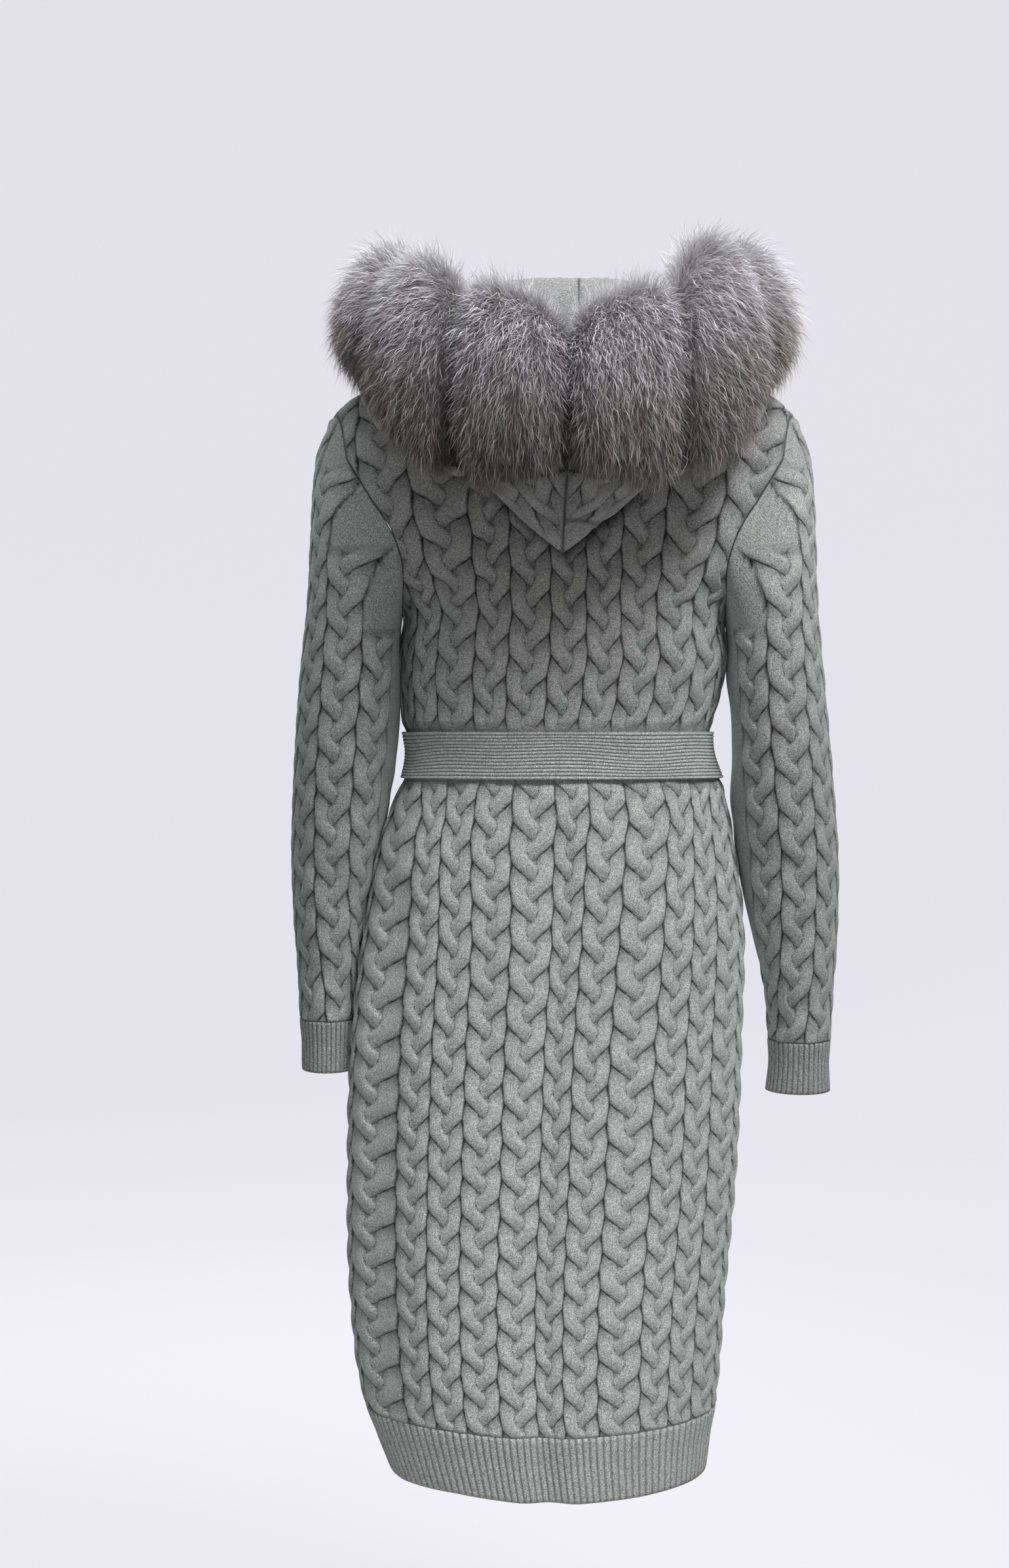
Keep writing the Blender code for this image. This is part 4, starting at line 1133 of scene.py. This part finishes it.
class CARDIGAN_OT_sleeves(bpy.types.Operator):
    """Knit the two sleeves, plaited down the outside and plain inside."""
    bl_idname = "cardigan.sleeves"
    bl_label = "Sleeves"

    def execute(self, context):
        knit = context.scene.cardigan_knit
        stations = np.linspace(0, SLEEVE["station"][-1], SLEEVE_GRID[0])
        angle = np.linspace(-pi, pi, SLEEVE_GRID[1], endpoint=False)
        for side, word in SIDES:
            rings = sleeve_rings(stations, side, angle)
            rings[:, :, 0] += side * SEAM * 2 * (1 - smoothstep(0, 0.3, stations))[:, None]
            out = turned_to(normals(rings, wrap=True), rings - rings.mean(axis=1, keepdims=True))
            ground = rings + out * sleeve_dents(stations, angle, side)[..., None]
            out = unit(out * np.array([1, 1, 0.3]))
            width = COLUMN_WIDTH - 0.005 * smoothstep(4, 9, stations)
            place = round_columns(rings, width) - SLEEVE_OFFSET
            z = np.concatenate([rings, rings[:, :1]], axis=1)[..., 2]
            period = (z - HEM_Z) / SLEEVE_PERIOD
            # each column beside the middle one begins lower, by the armhole's slope
            number, reach = np.abs(np.round(place)), np.abs(place)
            begins = np.where(number < 1, 0.0, -0.0215 - 0.0825 * number)
            shown = (1 - smoothstep(SLEEVE_COLUMNS - 0.05, SLEEVE_COLUMNS + 0.05, reach)) * (
                1 - smoothstep(begins - 0.012, begins, z))
            run = np.linalg.norm(np.diff(rings, axis=0), axis=-1)
            down = np.concatenate([np.zeros((1, len(angle))), np.cumsum(run, axis=0)])
            edge = np.minimum(np.minimum(down, down[-1] - down + SEAM_STEP - 0.0001), FAR)
            plaited = shown[:, :-1] * smoothstep(0.0, 0.004, edge)
            relief = knit.relief * SLEEVE_RELIEF * plait(place, period)[:, :-1] * plaited
            # painted shade, growing down the sleeve towards the cuff
            shade = SHADE_SLEEVE * smoothstep(1.5, 5.0, stations[:, None])
            piece = cloth_shell("knit_sleeve_" + word, ground, out, relief, CLOTH, KNIT_SKIP,
                                stacked(place, period),
                                {"plait": plaited, "edge": edge, "shade": shade}, wrap=True)
            finish_piece(piece, "knit", f"sleeve_{word}_upper", f"sleeve_{word}_lower")
        return {"FINISHED"}


class CARDIGAN_OT_cuffs(bpy.types.Operator):
    """Knit a ribbed cuff on each sleeve."""
    bl_idname = "cardigan.cuffs"
    bl_label = "Cuffs"

    def execute(self, context):
        knit = context.scene.cardigan_knit
        angle = np.linspace(-pi, pi, CUFF_RIBS * CUFF_STEPS, endpoint=False)
        down = np.linspace(0, 1, RIB_ROWS)[:, None]
        count = np.arange(CUFF_RIBS * CUFF_STEPS + 1)[None, :] / CUFF_STEPS
        relief = rib_relief(knit.rib, count[:, :-1], smoothstep(0, 0.12, 1 - down),
                            0.0020 * (1 - smoothstep(0.0, 0.5, down)))
        for side, word in SIDES:
            top = sleeve_rings(np.array([SLEEVE["station"][-1]]), side, angle)[0]
            top = top + np.array([0, 0, -SEAM])
            out_x, in_x = CUFF_END["out_" + word], CUFF_END["in_" + word]
            end = stacked(side * ((out_x + in_x) / 2 + (out_x - in_x) / 2 * np.cos(angle)),
                          SLEEVE["centre_y"][-1] + CUFF_END["half_depth"] * np.sin(angle),
                          top[:, 2] - CUFF)
            ground = top[None] + (end - top)[None] * (down ** 2)[..., None]
            ground[..., 2] = top[:, 2] - CUFF * down
            away = ground - ground.mean(axis=1, keepdims=True)
            # painted shade, even all round the cuff
            piece = cloth_shell("rib_cuff_" + word, ground, unit(away * np.array([1, 1, 0])),
                                relief, RIB_CLOTH, CUFF_SKIP,
                                stacked(count, down * CUFF / knit.stitch),
                                {"edge": np.minimum(down * CUFF + SEAM_STEP, FAR),
                                 "shade": SHADE_CUFF},
                                wrap=True)
            finish_piece(piece, "rib", "cuff_" + word)
        return {"FINISHED"}


# ---------------------------------------------------------------- hood
def around_neck(azimuth, radius, z):
    """Point at an azimuth (radians from the centre back) and radius about the neck's middle."""
    return stacked(radius * np.sin(azimuth), NECK_CENTRE_Y + radius * np.cos(azimuth), z)


def hood_section(degrees_round, count):
    """One section of the hood from neckline to edge: angle, radius, height and length.

    A smooth curve over the solid's own section points, set out by their distance along it. The
    lengths count from the lowest fold, and are + towards the edge. The rows share 35 parts of
    their run by the section's points and 65 by even lengths.
    """
    azimuth = radians(degrees_round)
    start = neckline(np.array(azimuth))
    neck_r = np.hypot(start[0], start[1] - NECK_CENTRE_Y)
    neck_z = start[2] + SEAM
    hood, fur = look_up(HOOD, degrees_round), look_up(FUR, degrees_round)
    top_r, top_z = hood["top_radius"], hood["top_z"]
    low_r, low_z = hood["low_radius"], hood["low_z"]
    roll, fold = HOOD_ROLL, hood["fold"]
    lean = radians(fur["lean"])
    edge_r = fur["radius"] + fur["half_height"] * sin(lean)
    edge_z = fur["z"] - fur["half_height"] * cos(lean) - 3 * SEAM - 0.004 * (1 - fold)
    before = 1.5 * roll * fold + 0.3 * roll * (1 - fold)
    after = 0.8 * roll * fold - 0.6 * roll * (1 - fold)
    points = np.array([
        (neck_r, neck_z),
        (neck_r + 0.3 * (top_r - roll - neck_r), neck_z + 0.5 * (top_z - neck_z)),
        (top_r - roll, top_z - roll),
        (top_r, top_z),
        (top_r + roll, top_z - roll),
        (0.5 * (top_r + roll + low_r - roll), 0.5 * (top_z + low_z)),
        (low_r - roll, low_z + before),
        (low_r, low_z),
        (low_r + 1.2 * roll, low_z + after),
        (0.5 * (low_r + 1.2 * roll + edge_r), 0.5 * (low_z + after + edge_z)),
        (edge_r, edge_z),
    ])
    last = len(points) - 1
    turn = np.full(len(points), azimuth)
    turn[0] = np.arctan2(start[0], start[1] - NECK_CENTRE_Y)
    turn[1] = (turn[0] + turn[2]) / 2
    lengths = np.linalg.norm(np.diff(points, axis=0), axis=1)
    along = np.concatenate([[0], np.cumsum(lengths)])
    shares = np.interp(np.linspace(0, last, count), np.arange(last + 1), along / along[-1])
    at = along[-1] * (0.35 * shares + 0.65 * np.linspace(0, 1, count))
    lowest = 7
    return stacked(curve(along, turn, at), curve(along, points[:, 0], at),
                   curve(along, points[:, 1], at), at - along[lowest])


class CARDIGAN_OT_hood(bpy.types.Operator):
    """Knit the two halves of the hood, worn down: a stand, a fold, and a point at the back."""
    bl_idname = "cardigan.hood"
    bl_label = "Hood"

    def execute(self, context):
        rows_down, sections_round = HOOD_GRID
        degrees_round = np.linspace(0, HOOD["azimuth"][-1], sections_round)
        sections = np.array([hood_section(a, rows_down) for a in degrees_round])
        turn, radius, z, along = (sections[..., i].T for i in range(4))
        # the centre seam sways to the wearer's left low down, and to the right up the stand
        sway = bell(degrees_round, 26.0)[None, :] * (0.004 - 0.016 * smoothstep(-0.20, 0.06, z))
        for side, word in SIDES:
            angle = np.maximum(turn, SEAM / 2 / radius)
            ground = around_neck(side * angle, radius, z)
            out = -side * normals(ground)
            out[:, 0, 0] = 0.0
            out[0, :, 2] = 0.0
            ground[..., 0] += sway
            self.half(side, word, ground, unit(out), angle * radius, along)
        return {"FINISHED"}

    def half(self, side, word, ground, out, sideways, along):
        """One half of the hood, by distances from the centre seam and from the lowest fold.

        Its plaits run aslant. On the right half the cloth is plain near the centre seam, below
        flap_z, and a line is pressed where the plain part begins. The cloth swells just past
        the lowest fold, and the centre seam stands up a little inside the hood.
        """
        knit = bpy.context.scene.cardigan_knit
        z = ground[..., 2]
        slope, width, length = radians(38.0), 0.040, 0.042
        flap_z, flap_width = -0.171, 0.044
        place = (sideways * cos(slope) - along * sin(slope)) / width + 0.35
        period = (sideways * sin(slope) + along * cos(slope)) / length + 0.2
        seam = np.minimum(sideways, FAR)
        plaited = smoothstep(0.0, 0.007, seam) * smoothstep(0.006, 0.016, along)
        plain = (side < 0) * (1 - smoothstep(flap_z - 0.003, flap_z + 0.001, z)) * (
            1 - smoothstep(flap_width - 0.004, flap_width + 0.002, sideways)) * (along > 0)
        plaited = plaited * (1 - plain)
        turned = (side < 0) & (along > 0) & (sideways < flap_width)
        fold = np.where(turned, np.abs(z - flap_z) / 1.8, 1.0)
        # the seam tone paints shade at the centre seam, the crease at flap_z and the lowest fold
        edge = np.minimum(seam, np.minimum(fold, np.abs(along + 0.001) / 2.4))
        purl = smoothstep(0.0, 0.01, -0.03 - along)
        relief = (knit.relief * HOOD_RELIEF * plait(place, period) * plaited
                  + 0.0045 * bell(along - 0.004, 0.007) - 0.003 * bell(fold, 0.004)
                  + 0.0016 * bell(edge, 0.004) * purl)
        # painted shade over the hood, taken off along its lowest fold so that the rim looks lit
        piece = cloth_shell("knit_hood_" + word, ground, out, relief, CLOTH, HOOD_SKIP,
                            stacked(place, period),
                            {"plait": plaited, "edge": edge,
                             "shade": SHADE_HOOD - SHADE_HOOD * bell(along - 0.008, 0.008)})
        finish_piece(piece, "knit", "hood_" + word)


# ---------------------------------------------------------------- fur
def fur_surface(side, low, high, along, angle, shrink):
    """Point, outward and downward directions on a length of fur.

    Its section is an oval that stands on the radius at each azimuth; the oval's half sizes are
    less by shrink, and draw in towards both ends of the length.
    """
    degrees_round = low + (high - low) * along
    fur, more = look_up(FUR, degrees_round), look_up(FUR_TOPS, degrees_round)
    top, foot = more[dict(SIDES)[side]] / 2, more["foot"] / 2
    full = 1 - 0.40 * np.abs(2 * along - 1) ** (3.5 if low < FUR_JOINS[1] else 2.4)
    thick = ((fur["half_thickness"] - shrink) * full)[..., None]
    tall = ((fur["half_height"] + top + foot - shrink) * full)[..., None]
    azimuth, lean = side * np.radians(degrees_round), np.radians(fur["lean"])[..., None]
    outward = stacked(np.sin(azimuth), np.cos(azimuth), 0.0)
    upward = np.array([0.0, 0.0, 1.0])
    deep = outward * np.cos(lean) + upward * np.sin(lean)
    high_way = upward * np.cos(lean) - outward * np.sin(lean)
    c, s = np.cos(angle)[..., None], np.sin(angle)[..., None]
    middle = around_neck(azimuth, fur["radius"], fur["z"] + top - foot)
    return (middle + deep * c * thick + high_way * s * tall,
            unit(deep * c * tall + high_way * s * thick),
            unit(deep * s * thick - high_way * c * tall))


# Waves that turn and lift whole tufts: turns round the neck, turns across the fur, and phase.
TURN_WAVES = ((23.0, 2.0, 0.4), (37.0, -3.0, 1.9), (61.0, 5.0, 4.1), (9.0, 1.0, 2.7))
LIFT_WAVES = ((31.0, 4.0, 2.2), (17.0, -2.0, 0.9), (71.0, 7.0, 3.3))


def waves(table, azimuth, angle, shift):
    """Mean of the sines of a table over a length of fur."""
    return sum(np.sin(azimuth * a + angle * b + c + shift) for a, b, c in table) / len(table)


def hair_locks(side, low, high, seed):
    """Locks of hair over a length of fur: a sixth are long and bent, the rest short and straight.

    A lock starts along the outward direction and bends down the fur. Slow waves turn whole tufts
    together, and a random part sets each lock apart. A long lock is a ribbon of three triangles,
    a short one is a single triangle.
    """
    fur = bpy.context.scene.cardigan_fur
    chance = np.random.default_rng(seed)
    count = fur.hairs
    guard = count // LONG_ONE_IN
    along = chance.random(count)
    angle = chance.uniform(-pi, pi, count)
    from_middle = np.abs(2 * along - 1)
    root, normal, down = fur_surface(side, low, high, along, angle, ROOT_DEPTH)
    azimuth = np.radians(low + (high - low) * along)
    wave, lift = waves(TURN_WAVES, azimuth, angle, seed), waves(LIFT_WAVES, azimuth, angle, -seed)

    def column(values):
        return values[:, None]
    # directions: out and down, fanned towards both ends of the length
    sine, cosine = np.sin(angle), np.cos(angle)
    lie = 0.55 + 0.30 * cosine - 0.25 * np.clip(sine, 0, 1)
    fan = stacked(side * np.cos(azimuth), -np.sin(azimuth), 0.0) * column(
        0.35 * (2 * along - 1) ** 3)
    start = unit(normal * column(0.80 + 0.25 * lift) + fan + down * column(lie * 0.7)
                 + unit(np.cross(normal, down)) * column(0.45 * wave)
                 + 0.28 * chance.normal(size=(count, 3)))
    finish = unit(start + down * column(0.45 + 0.5 * lie) + fan * 0.5
                  + np.array([0, 0, -0.18]) + 0.25 * chance.normal(size=(count, 3)))
    length = fur.length * chance.uniform(0.65, 1.25, count) * (1 - 0.10 * cosine)
    length = length * (1 - 0.45 * from_middle ** 5)
    length[guard:] *= SHORT_LENGTH
    bend = root + start * column(0.55 * length)
    point = bend + finish * column(0.50 * length)
    turned = normal + 0.8 * chance.normal(size=(count, 3))
    wide = unit(np.cross(start, turned)) * column(fur.width / 2 * chance.uniform(0.7, 1.4, count))
    # long locks first, five points each, then the short ones, three points each
    long_ones = np.stack([root - wide, root + wide, bend - wide * 0.85, bend + wide * 0.85,
                          point], axis=1)[:guard].reshape(-1, 3)
    short_ones = np.stack([root - wide, root + wide, point], axis=1)[guard:].reshape(-1, 3)
    first = np.arange(guard)[:, None, None] * 5
    bent = (first + np.array([(0, 1, 2), (1, 3, 2), (2, 3, 4)])[None]).reshape(-1, 3)
    straight = np.arange(len(short_ones)).reshape(-1, 3) + len(long_ones)
    # tone: painted light paler on top, on the right and on the outer lengths; painted shade darker
    # low down; darker at the joins, for their dark roots and for painted shade
    low_down = smoothstep(0.5, -0.9, sine + 0.25 * chance.normal(size=count))
    part, right = HAIR_TONE_AND_PAINTED_LIGHT, side < 0
    tone = np.clip(part["usual"] + part["chance"] * chance.normal(size=count)
                   + part["lift"] * lift, 0, 1)
    tone = tone + part["right"] * right + (part["outer"] + part["outer_right"] * right
                                           ) * smoothstep(0.7, 1.2, azimuth)
    tone = tone - part["join"] * from_middle ** (7 if low < FUR_JOINS[1] else 4.5)
    tone = tone + part["top"] * smoothstep(-0.4, 0.9, sine) - part["under"] * low_down
    tone = np.minimum(tone, part["most"])

    def spread(value):
        return np.concatenate([np.repeat(value[:guard], 5), np.repeat(value[guard:], 3)])
    tips = np.concatenate([np.tile([0.0, 0.0, 0.6, 0.6, 1.0], guard),
                           np.tile([0.0, 0.0, 0.9], count - guard)])
    return (np.concatenate([long_ones, short_ones]), np.concatenate([bent, straight]),
            {"tip": tips, "tone": spread(tone), "low": spread(low_down)})


class CARDIGAN_OT_fur(bpy.types.Operator):
    """Grow the ten lengths of fur round the hood's edge."""
    bl_idname = "cardigan.fur"
    bl_label = "Fur trim"

    def execute(self, context):
        rows_along, points_round = FUR_GRID
        along, angle = np.meshgrid(np.linspace(0.012, 0.988, rows_along),
                                   np.linspace(0, 2 * pi, points_round, endpoint=False),
                                   indexing="ij")
        index = numbered(along)
        skin = {"tip": 0.0, "tone": 0.25, "low": 0.5}       # under the hairs
        for side, word in SIDES:
            for number, (low, high) in enumerate(zip(FUR_JOINS, FUR_JOINS[1:]), start=1):
                core = fur_surface(side, low, high, along, angle, SKIN_DEPTH)[0]
                hairs, faces, values = hair_locks(side, low, high, 20 * number + 3 * side)
                quads = grid_quads(index, True)
                ends = caps(index, index.size, index.size + 1)
                if side < 0:
                    quads, ends = quads[:, ::-1], ends[:, ::-1]
                base = np.concatenate([core.reshape(-1, 3),
                                       [core[0].mean(axis=0), core[-1].mean(axis=0)]])
                every = {key: np.concatenate([np.full(len(base), skin[key]), data])
                         for key, data in values.items()}
                name = f"fur_{word}_{number}"
                piece = build_mesh("hair_" + name, np.concatenate([base, hairs]), quads,
                                   np.concatenate([ends, faces + len(base)]), None, every)
                finish_piece(piece, "fur", name)
        return {"FINISHED"}


# ---------------------------------------------------------------- belt
class CARDIGAN_OT_belt(bpy.types.Operator):
    """Knit the belt: a ribbed band, a knot in front, and two hanging ends."""
    bl_idname = "cardigan.belt"
    bl_label = "Belt"

    def execute(self, context):
        knit = context.scene.cardigan_knit
        angle = np.linspace(-pi, pi, 240, endpoint=False)[None, :]
        up = np.linspace(0, 1, BELT_RIBS * BELT_STEPS + 1)[:, None]
        # rings round the body, with a slight sway up and down and ripples in and out
        sway = 0.0016 * np.sin(3 * angle + 0.7) + 0.0012 * np.sin(7 * angle + 2.0)
        z = BELT_LOW_Z + BELT_WIDTH * up + sway * np.sin(pi * up)
        ripple = 0.0006 * np.sin(11 * angle + 4 * up) + 0.0005 * np.sin(5 * angle - 3 * up + 1)
        level, offset = look_up(TORSO, z), BELT_CLEAR + BELT_CLOTH - 0.0004
        depth = np.where(np.cos(angle) > 0, level["back_depth"], level["front_depth"]) + offset
        x = level["centre_x"] + (level["half_width"] + offset) * np.sin(angle)
        ground = stacked(x, depth * np.cos(angle), z)
        flat = np.array([1, 1, 0])
        out = unit(turned_to(normals(ground, wrap=True), ground * flat) * flat)
        relief = BELT_RIB * (ridges(up * BELT_RIBS + 0 * angle) - 0.5) + ripple
        girth = np.concatenate([angle, [[pi]]], axis=1) * 0.125 / knit.stitch
        band = cloth_shell("rib_belt_band", ground, out, relief, BELT_CLOTH - 0.0006, BAND_SKIP,
                           stacked(up * BELT_RIBS, girth), {"edge": FAR, "shade": 0.0}, wrap=True)
        finish_piece(band, "rib", "belt_band")
        knot = self.knot()
        for name, lean, length in zip(*TAILS.values()):
            self.end(name, lean, length, knit)
        return {"FINISHED"}

    def knot(self):
        """A soft knot: a rounded block whose ribs run aslant, with a band wrapped over it."""
        low, high = (np.array(corner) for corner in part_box("belt_knot"))
        middle, half = (low + high) / 2, (high - low) / 2
        turn = np.linspace(-pi, pi, 120, endpoint=False)[None, :]
        rise = np.linspace(-pi / 2, pi / 2, 63)[1:-1, None]

        def power(value, exponent):
            return np.sign(value) * np.abs(value) ** exponent
        x = power(np.cos(rise), 0.55) * power(np.cos(turn), 0.55)
        y = power(np.cos(rise), 0.55) * power(np.sin(turn), 0.55)
        z = power(np.sin(rise), 0.60)
        aslant = x + 0.35 * z
        wrap = np.exp(-(aslant / 0.46) ** 6)
        lanes = np.where(wrap > 0.5, aslant * 4.5, (z - 0.5 * x) * 5.0)
        swell = (0.86 + 0.09 * wrap + 0.028 * ridges(lanes)
                 - 0.05 * bell(np.abs(aslant) - 0.5, 0.07))
        grid = middle + stacked(x, y, z) * (swell[..., None] * half)
        pole = np.array([0, 0, half[2] * 0.9])
        shown = np.concatenate([lanes, lanes[:, :1]], axis=1)
        run = np.concatenate([turn, [[pi]]], axis=1) * 12 + rise * 8
        piece = round_form("rib_belt_knot", grid, middle - pole, middle + pole,
                           stacked(shown, run), {"edge": FAR, "shade": 0.0})
        finish_piece(piece, "rib", "belt_knot")
        return piece

    def end(self, name, lean, length, knit):
        """A hanging end: it widens below the knot, leans aside, and lies on the skirt."""
        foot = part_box(name)[1].z
        waist = look_up(TORSO, BELT_MIDDLE_Z)
        across = np.linspace(-BELT_WIDTH / 2, BELT_WIDTH / 2,
                             BELT_RIBS * BELT_STEPS + 1)[None, :]
        down = np.linspace(0, length, 61)[:, None]
        z = foot - down
        narrow = 1 - 0.45 * (1 - smoothstep(0, 0.05, down))
        x = float(waist["centre_x"]) + lean * (0.012 + 0.10 * down) + across * narrow
        front = -waist["front_depth"] - 0.0052
        near = np.minimum(-look_up(TORSO, z)["front_depth"] - 0.0060,
                          front - 0.002 - 0.012 * (1 - down / length))
        rank = (BELT_CLOTH + 0.0015) * (lean < 0)       # the right end lies over the left one
        face = stacked(x, near - rank - BELT_CLOTH, z)
        out = turned_to(normals(face), (0, -1, 0))
        count = (across / BELT_WIDTH + 0.5) * BELT_RIBS
        relief = BELT_RIB * (ridges(count + 0 * down) - 0.6)
        piece = cloth_shell("rib_" + name, face, out, relief, BELT_CLOTH - 0.0008, END_SKIP,
                            stacked(count, down / knit.stitch), {"edge": FAR, "shade": 0.0})
        finish_piece(piece, "rib", name)


# ---------------------------------------------------------------- stage
# Soft lights: setting that holds the power, place, aim, size, colour, and spread in degrees.
LIGHTS = (
    ("key", (-1.3, 1.6, 2.5), (0, 0, -0.5), 1.0, (1.0, 0.99, 0.98), 180.0),
    ("top", (0.5, 0.7, 2.2), (0, 0, -0.4), 2.2, (0.97, 0.98, 1.0), 180.0),
    ("low", (-0.05, 1.0, -1.30), (0, 0, -1.0), 0.7, (1.0, 1.0, 1.0), 120.0),
    ("front", (0.7, -2.3, 0.7), (0, 0, -0.5), 1.6, (1.0, 1.0, 1.0), 180.0),
)
SKY = (0.98, 0.97, 0.93, 1.0)
WALL_BEND, WALL_TOP = 1.7, 4.4      # radius of the floor's curve up, and the wall's top edge
CAMERA_PLACE, CAMERA_TILT = (0.0603, 2.463, -0.362), 88.5


def area_light(name, place, aim, size, power, colour, spread):
    """A square soft light that faces a point and fans out by spread, in degrees."""
    light = bpy.data.lights.new(name, "AREA")
    light.size, light.energy, light.color, light.spread = size, power, colour, radians(spread)
    made = bpy.data.objects.new(name, light)
    bpy.context.scene.collection.objects.link(made)
    made.location = place
    away = np.array(place) - np.array(aim)
    flat = np.hypot(away[0], away[1])
    made.rotation_euler = (np.arctan2(flat, away[2]), 0.0, np.arctan2(away[1], away[0]) + pi / 2)


class CARDIGAN_OT_stage(bpy.types.Operator):
    """Set up the pale floor that curves up into a wall, the soft lights and the camera."""
    bl_idname = "cardigan.stage"
    bl_label = "Stage"

    def execute(self, context):
        scene, stage = context.scene, context.scene.cardigan_stage
        turn = np.linspace(0, 2 * pi, 96, endpoint=False)[None, :]
        bend = np.linspace(0, pi / 2, 25)
        flat = np.linspace(0.2, stage.radius, 12)[:-1]
        radius = np.concatenate([flat, stage.radius + WALL_BEND * np.sin(bend),
                                 [stage.radius + WALL_BEND]])[:, None]
        height = np.concatenate([0 * flat, WALL_BEND * (1 - np.cos(bend)), [WALL_TOP]])
        grid = stacked(radius * np.cos(turn), radius * np.sin(turn),
                       height[:, None] + stage.floor)
        index = numbered(grid)
        middle = stacked(index[0], np.roll(index[0], -1), index.size)
        points = np.concatenate([grid.reshape(-1, 3), [[0, 0, stage.floor]]])
        paper = build_mesh("paper", points, grid_quads(index, True)[:, ::-1], middle)
        paper.data.materials.append(paper_material(Graph("pale_paper")))
        paper.visible_diffuse = paper.visible_glossy = False
        for name, place, aim, size, colour, spread in LIGHTS:
            area_light(name + "_light", place, aim, size, getattr(stage, name), colour, spread)
        scene.world = bpy.data.worlds.new("soft_light")
        scene.world.use_nodes = True
        sky = scene.world.node_tree.nodes["Background"]
        sky.inputs["Color"].default_value = SKY
        sky.inputs["Strength"].default_value = stage.ambient
        lens = bpy.data.cameras.new("camera")
        lens.lens, lens.sensor_width = stage.lens, 36.0
        camera = bpy.data.objects.new("camera", lens)
        scene.collection.objects.link(camera)
        camera.location = CAMERA_PLACE
        camera.rotation_euler = (radians(CAMERA_TILT), 0.0, pi)
        scene.camera = camera
        scene.view_settings.view_transform = "Standard"
        return {"FINISHED"}


class CARDIGAN_PT_panel(bpy.types.Panel):
    """Settings and steps of the hooded cardigan."""
    bl_label = "Hooded cardigan"
    bl_idname = "CARDIGAN_PT_panel"
    bl_space_type = "VIEW_3D"
    bl_region_type = "UI"
    bl_category = "Cardigan"

    def draw(self, context):
        for title, group in (("Knit", context.scene.cardigan_knit),
                             ("Fur", context.scene.cardigan_fur),
                             ("Stage", context.scene.cardigan_stage)):
            box = self.layout.box()
            box.label(text=title)
            for key in group.bl_rna.properties.keys():
                if key not in ("rna_type", "name"):
                    box.prop(group, key)
        for step in STEPS:
            self.layout.operator(step.bl_idname)


STEPS = (CARDIGAN_OT_stage, CARDIGAN_OT_panels, CARDIGAN_OT_hem, CARDIGAN_OT_sleeves,
         CARDIGAN_OT_cuffs, CARDIGAN_OT_fur, CARDIGAN_OT_hood, CARDIGAN_OT_belt)
GROUPS = {"cardigan_knit": CardiganKnit, "cardigan_fur": CardiganFur,
          "cardigan_stage": CardiganStage}


def register():
    """Add the settings, the steps and the panel."""
    for made in (*GROUPS.values(), *STEPS, CARDIGAN_PT_panel):
        bpy.utils.register_class(made)
    for name, group in GROUPS.items():
        setattr(bpy.types.Scene, name, bpy.props.PointerProperty(type=group))


def unregister():
    """Take them out again, last added first."""
    for name in GROUPS:
        delattr(bpy.types.Scene, name)
    for made in (CARDIGAN_PT_panel, *reversed(STEPS), *reversed(list(GROUPS.values()))):
        bpy.utils.unregister_class(made)


def main():
    """Register the add-on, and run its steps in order."""
    register()
    for step in STEPS:
        group, name = step.bl_idname.split(".")
        getattr(getattr(bpy.ops, group), name)()


if __name__ == "__main__":
    main()
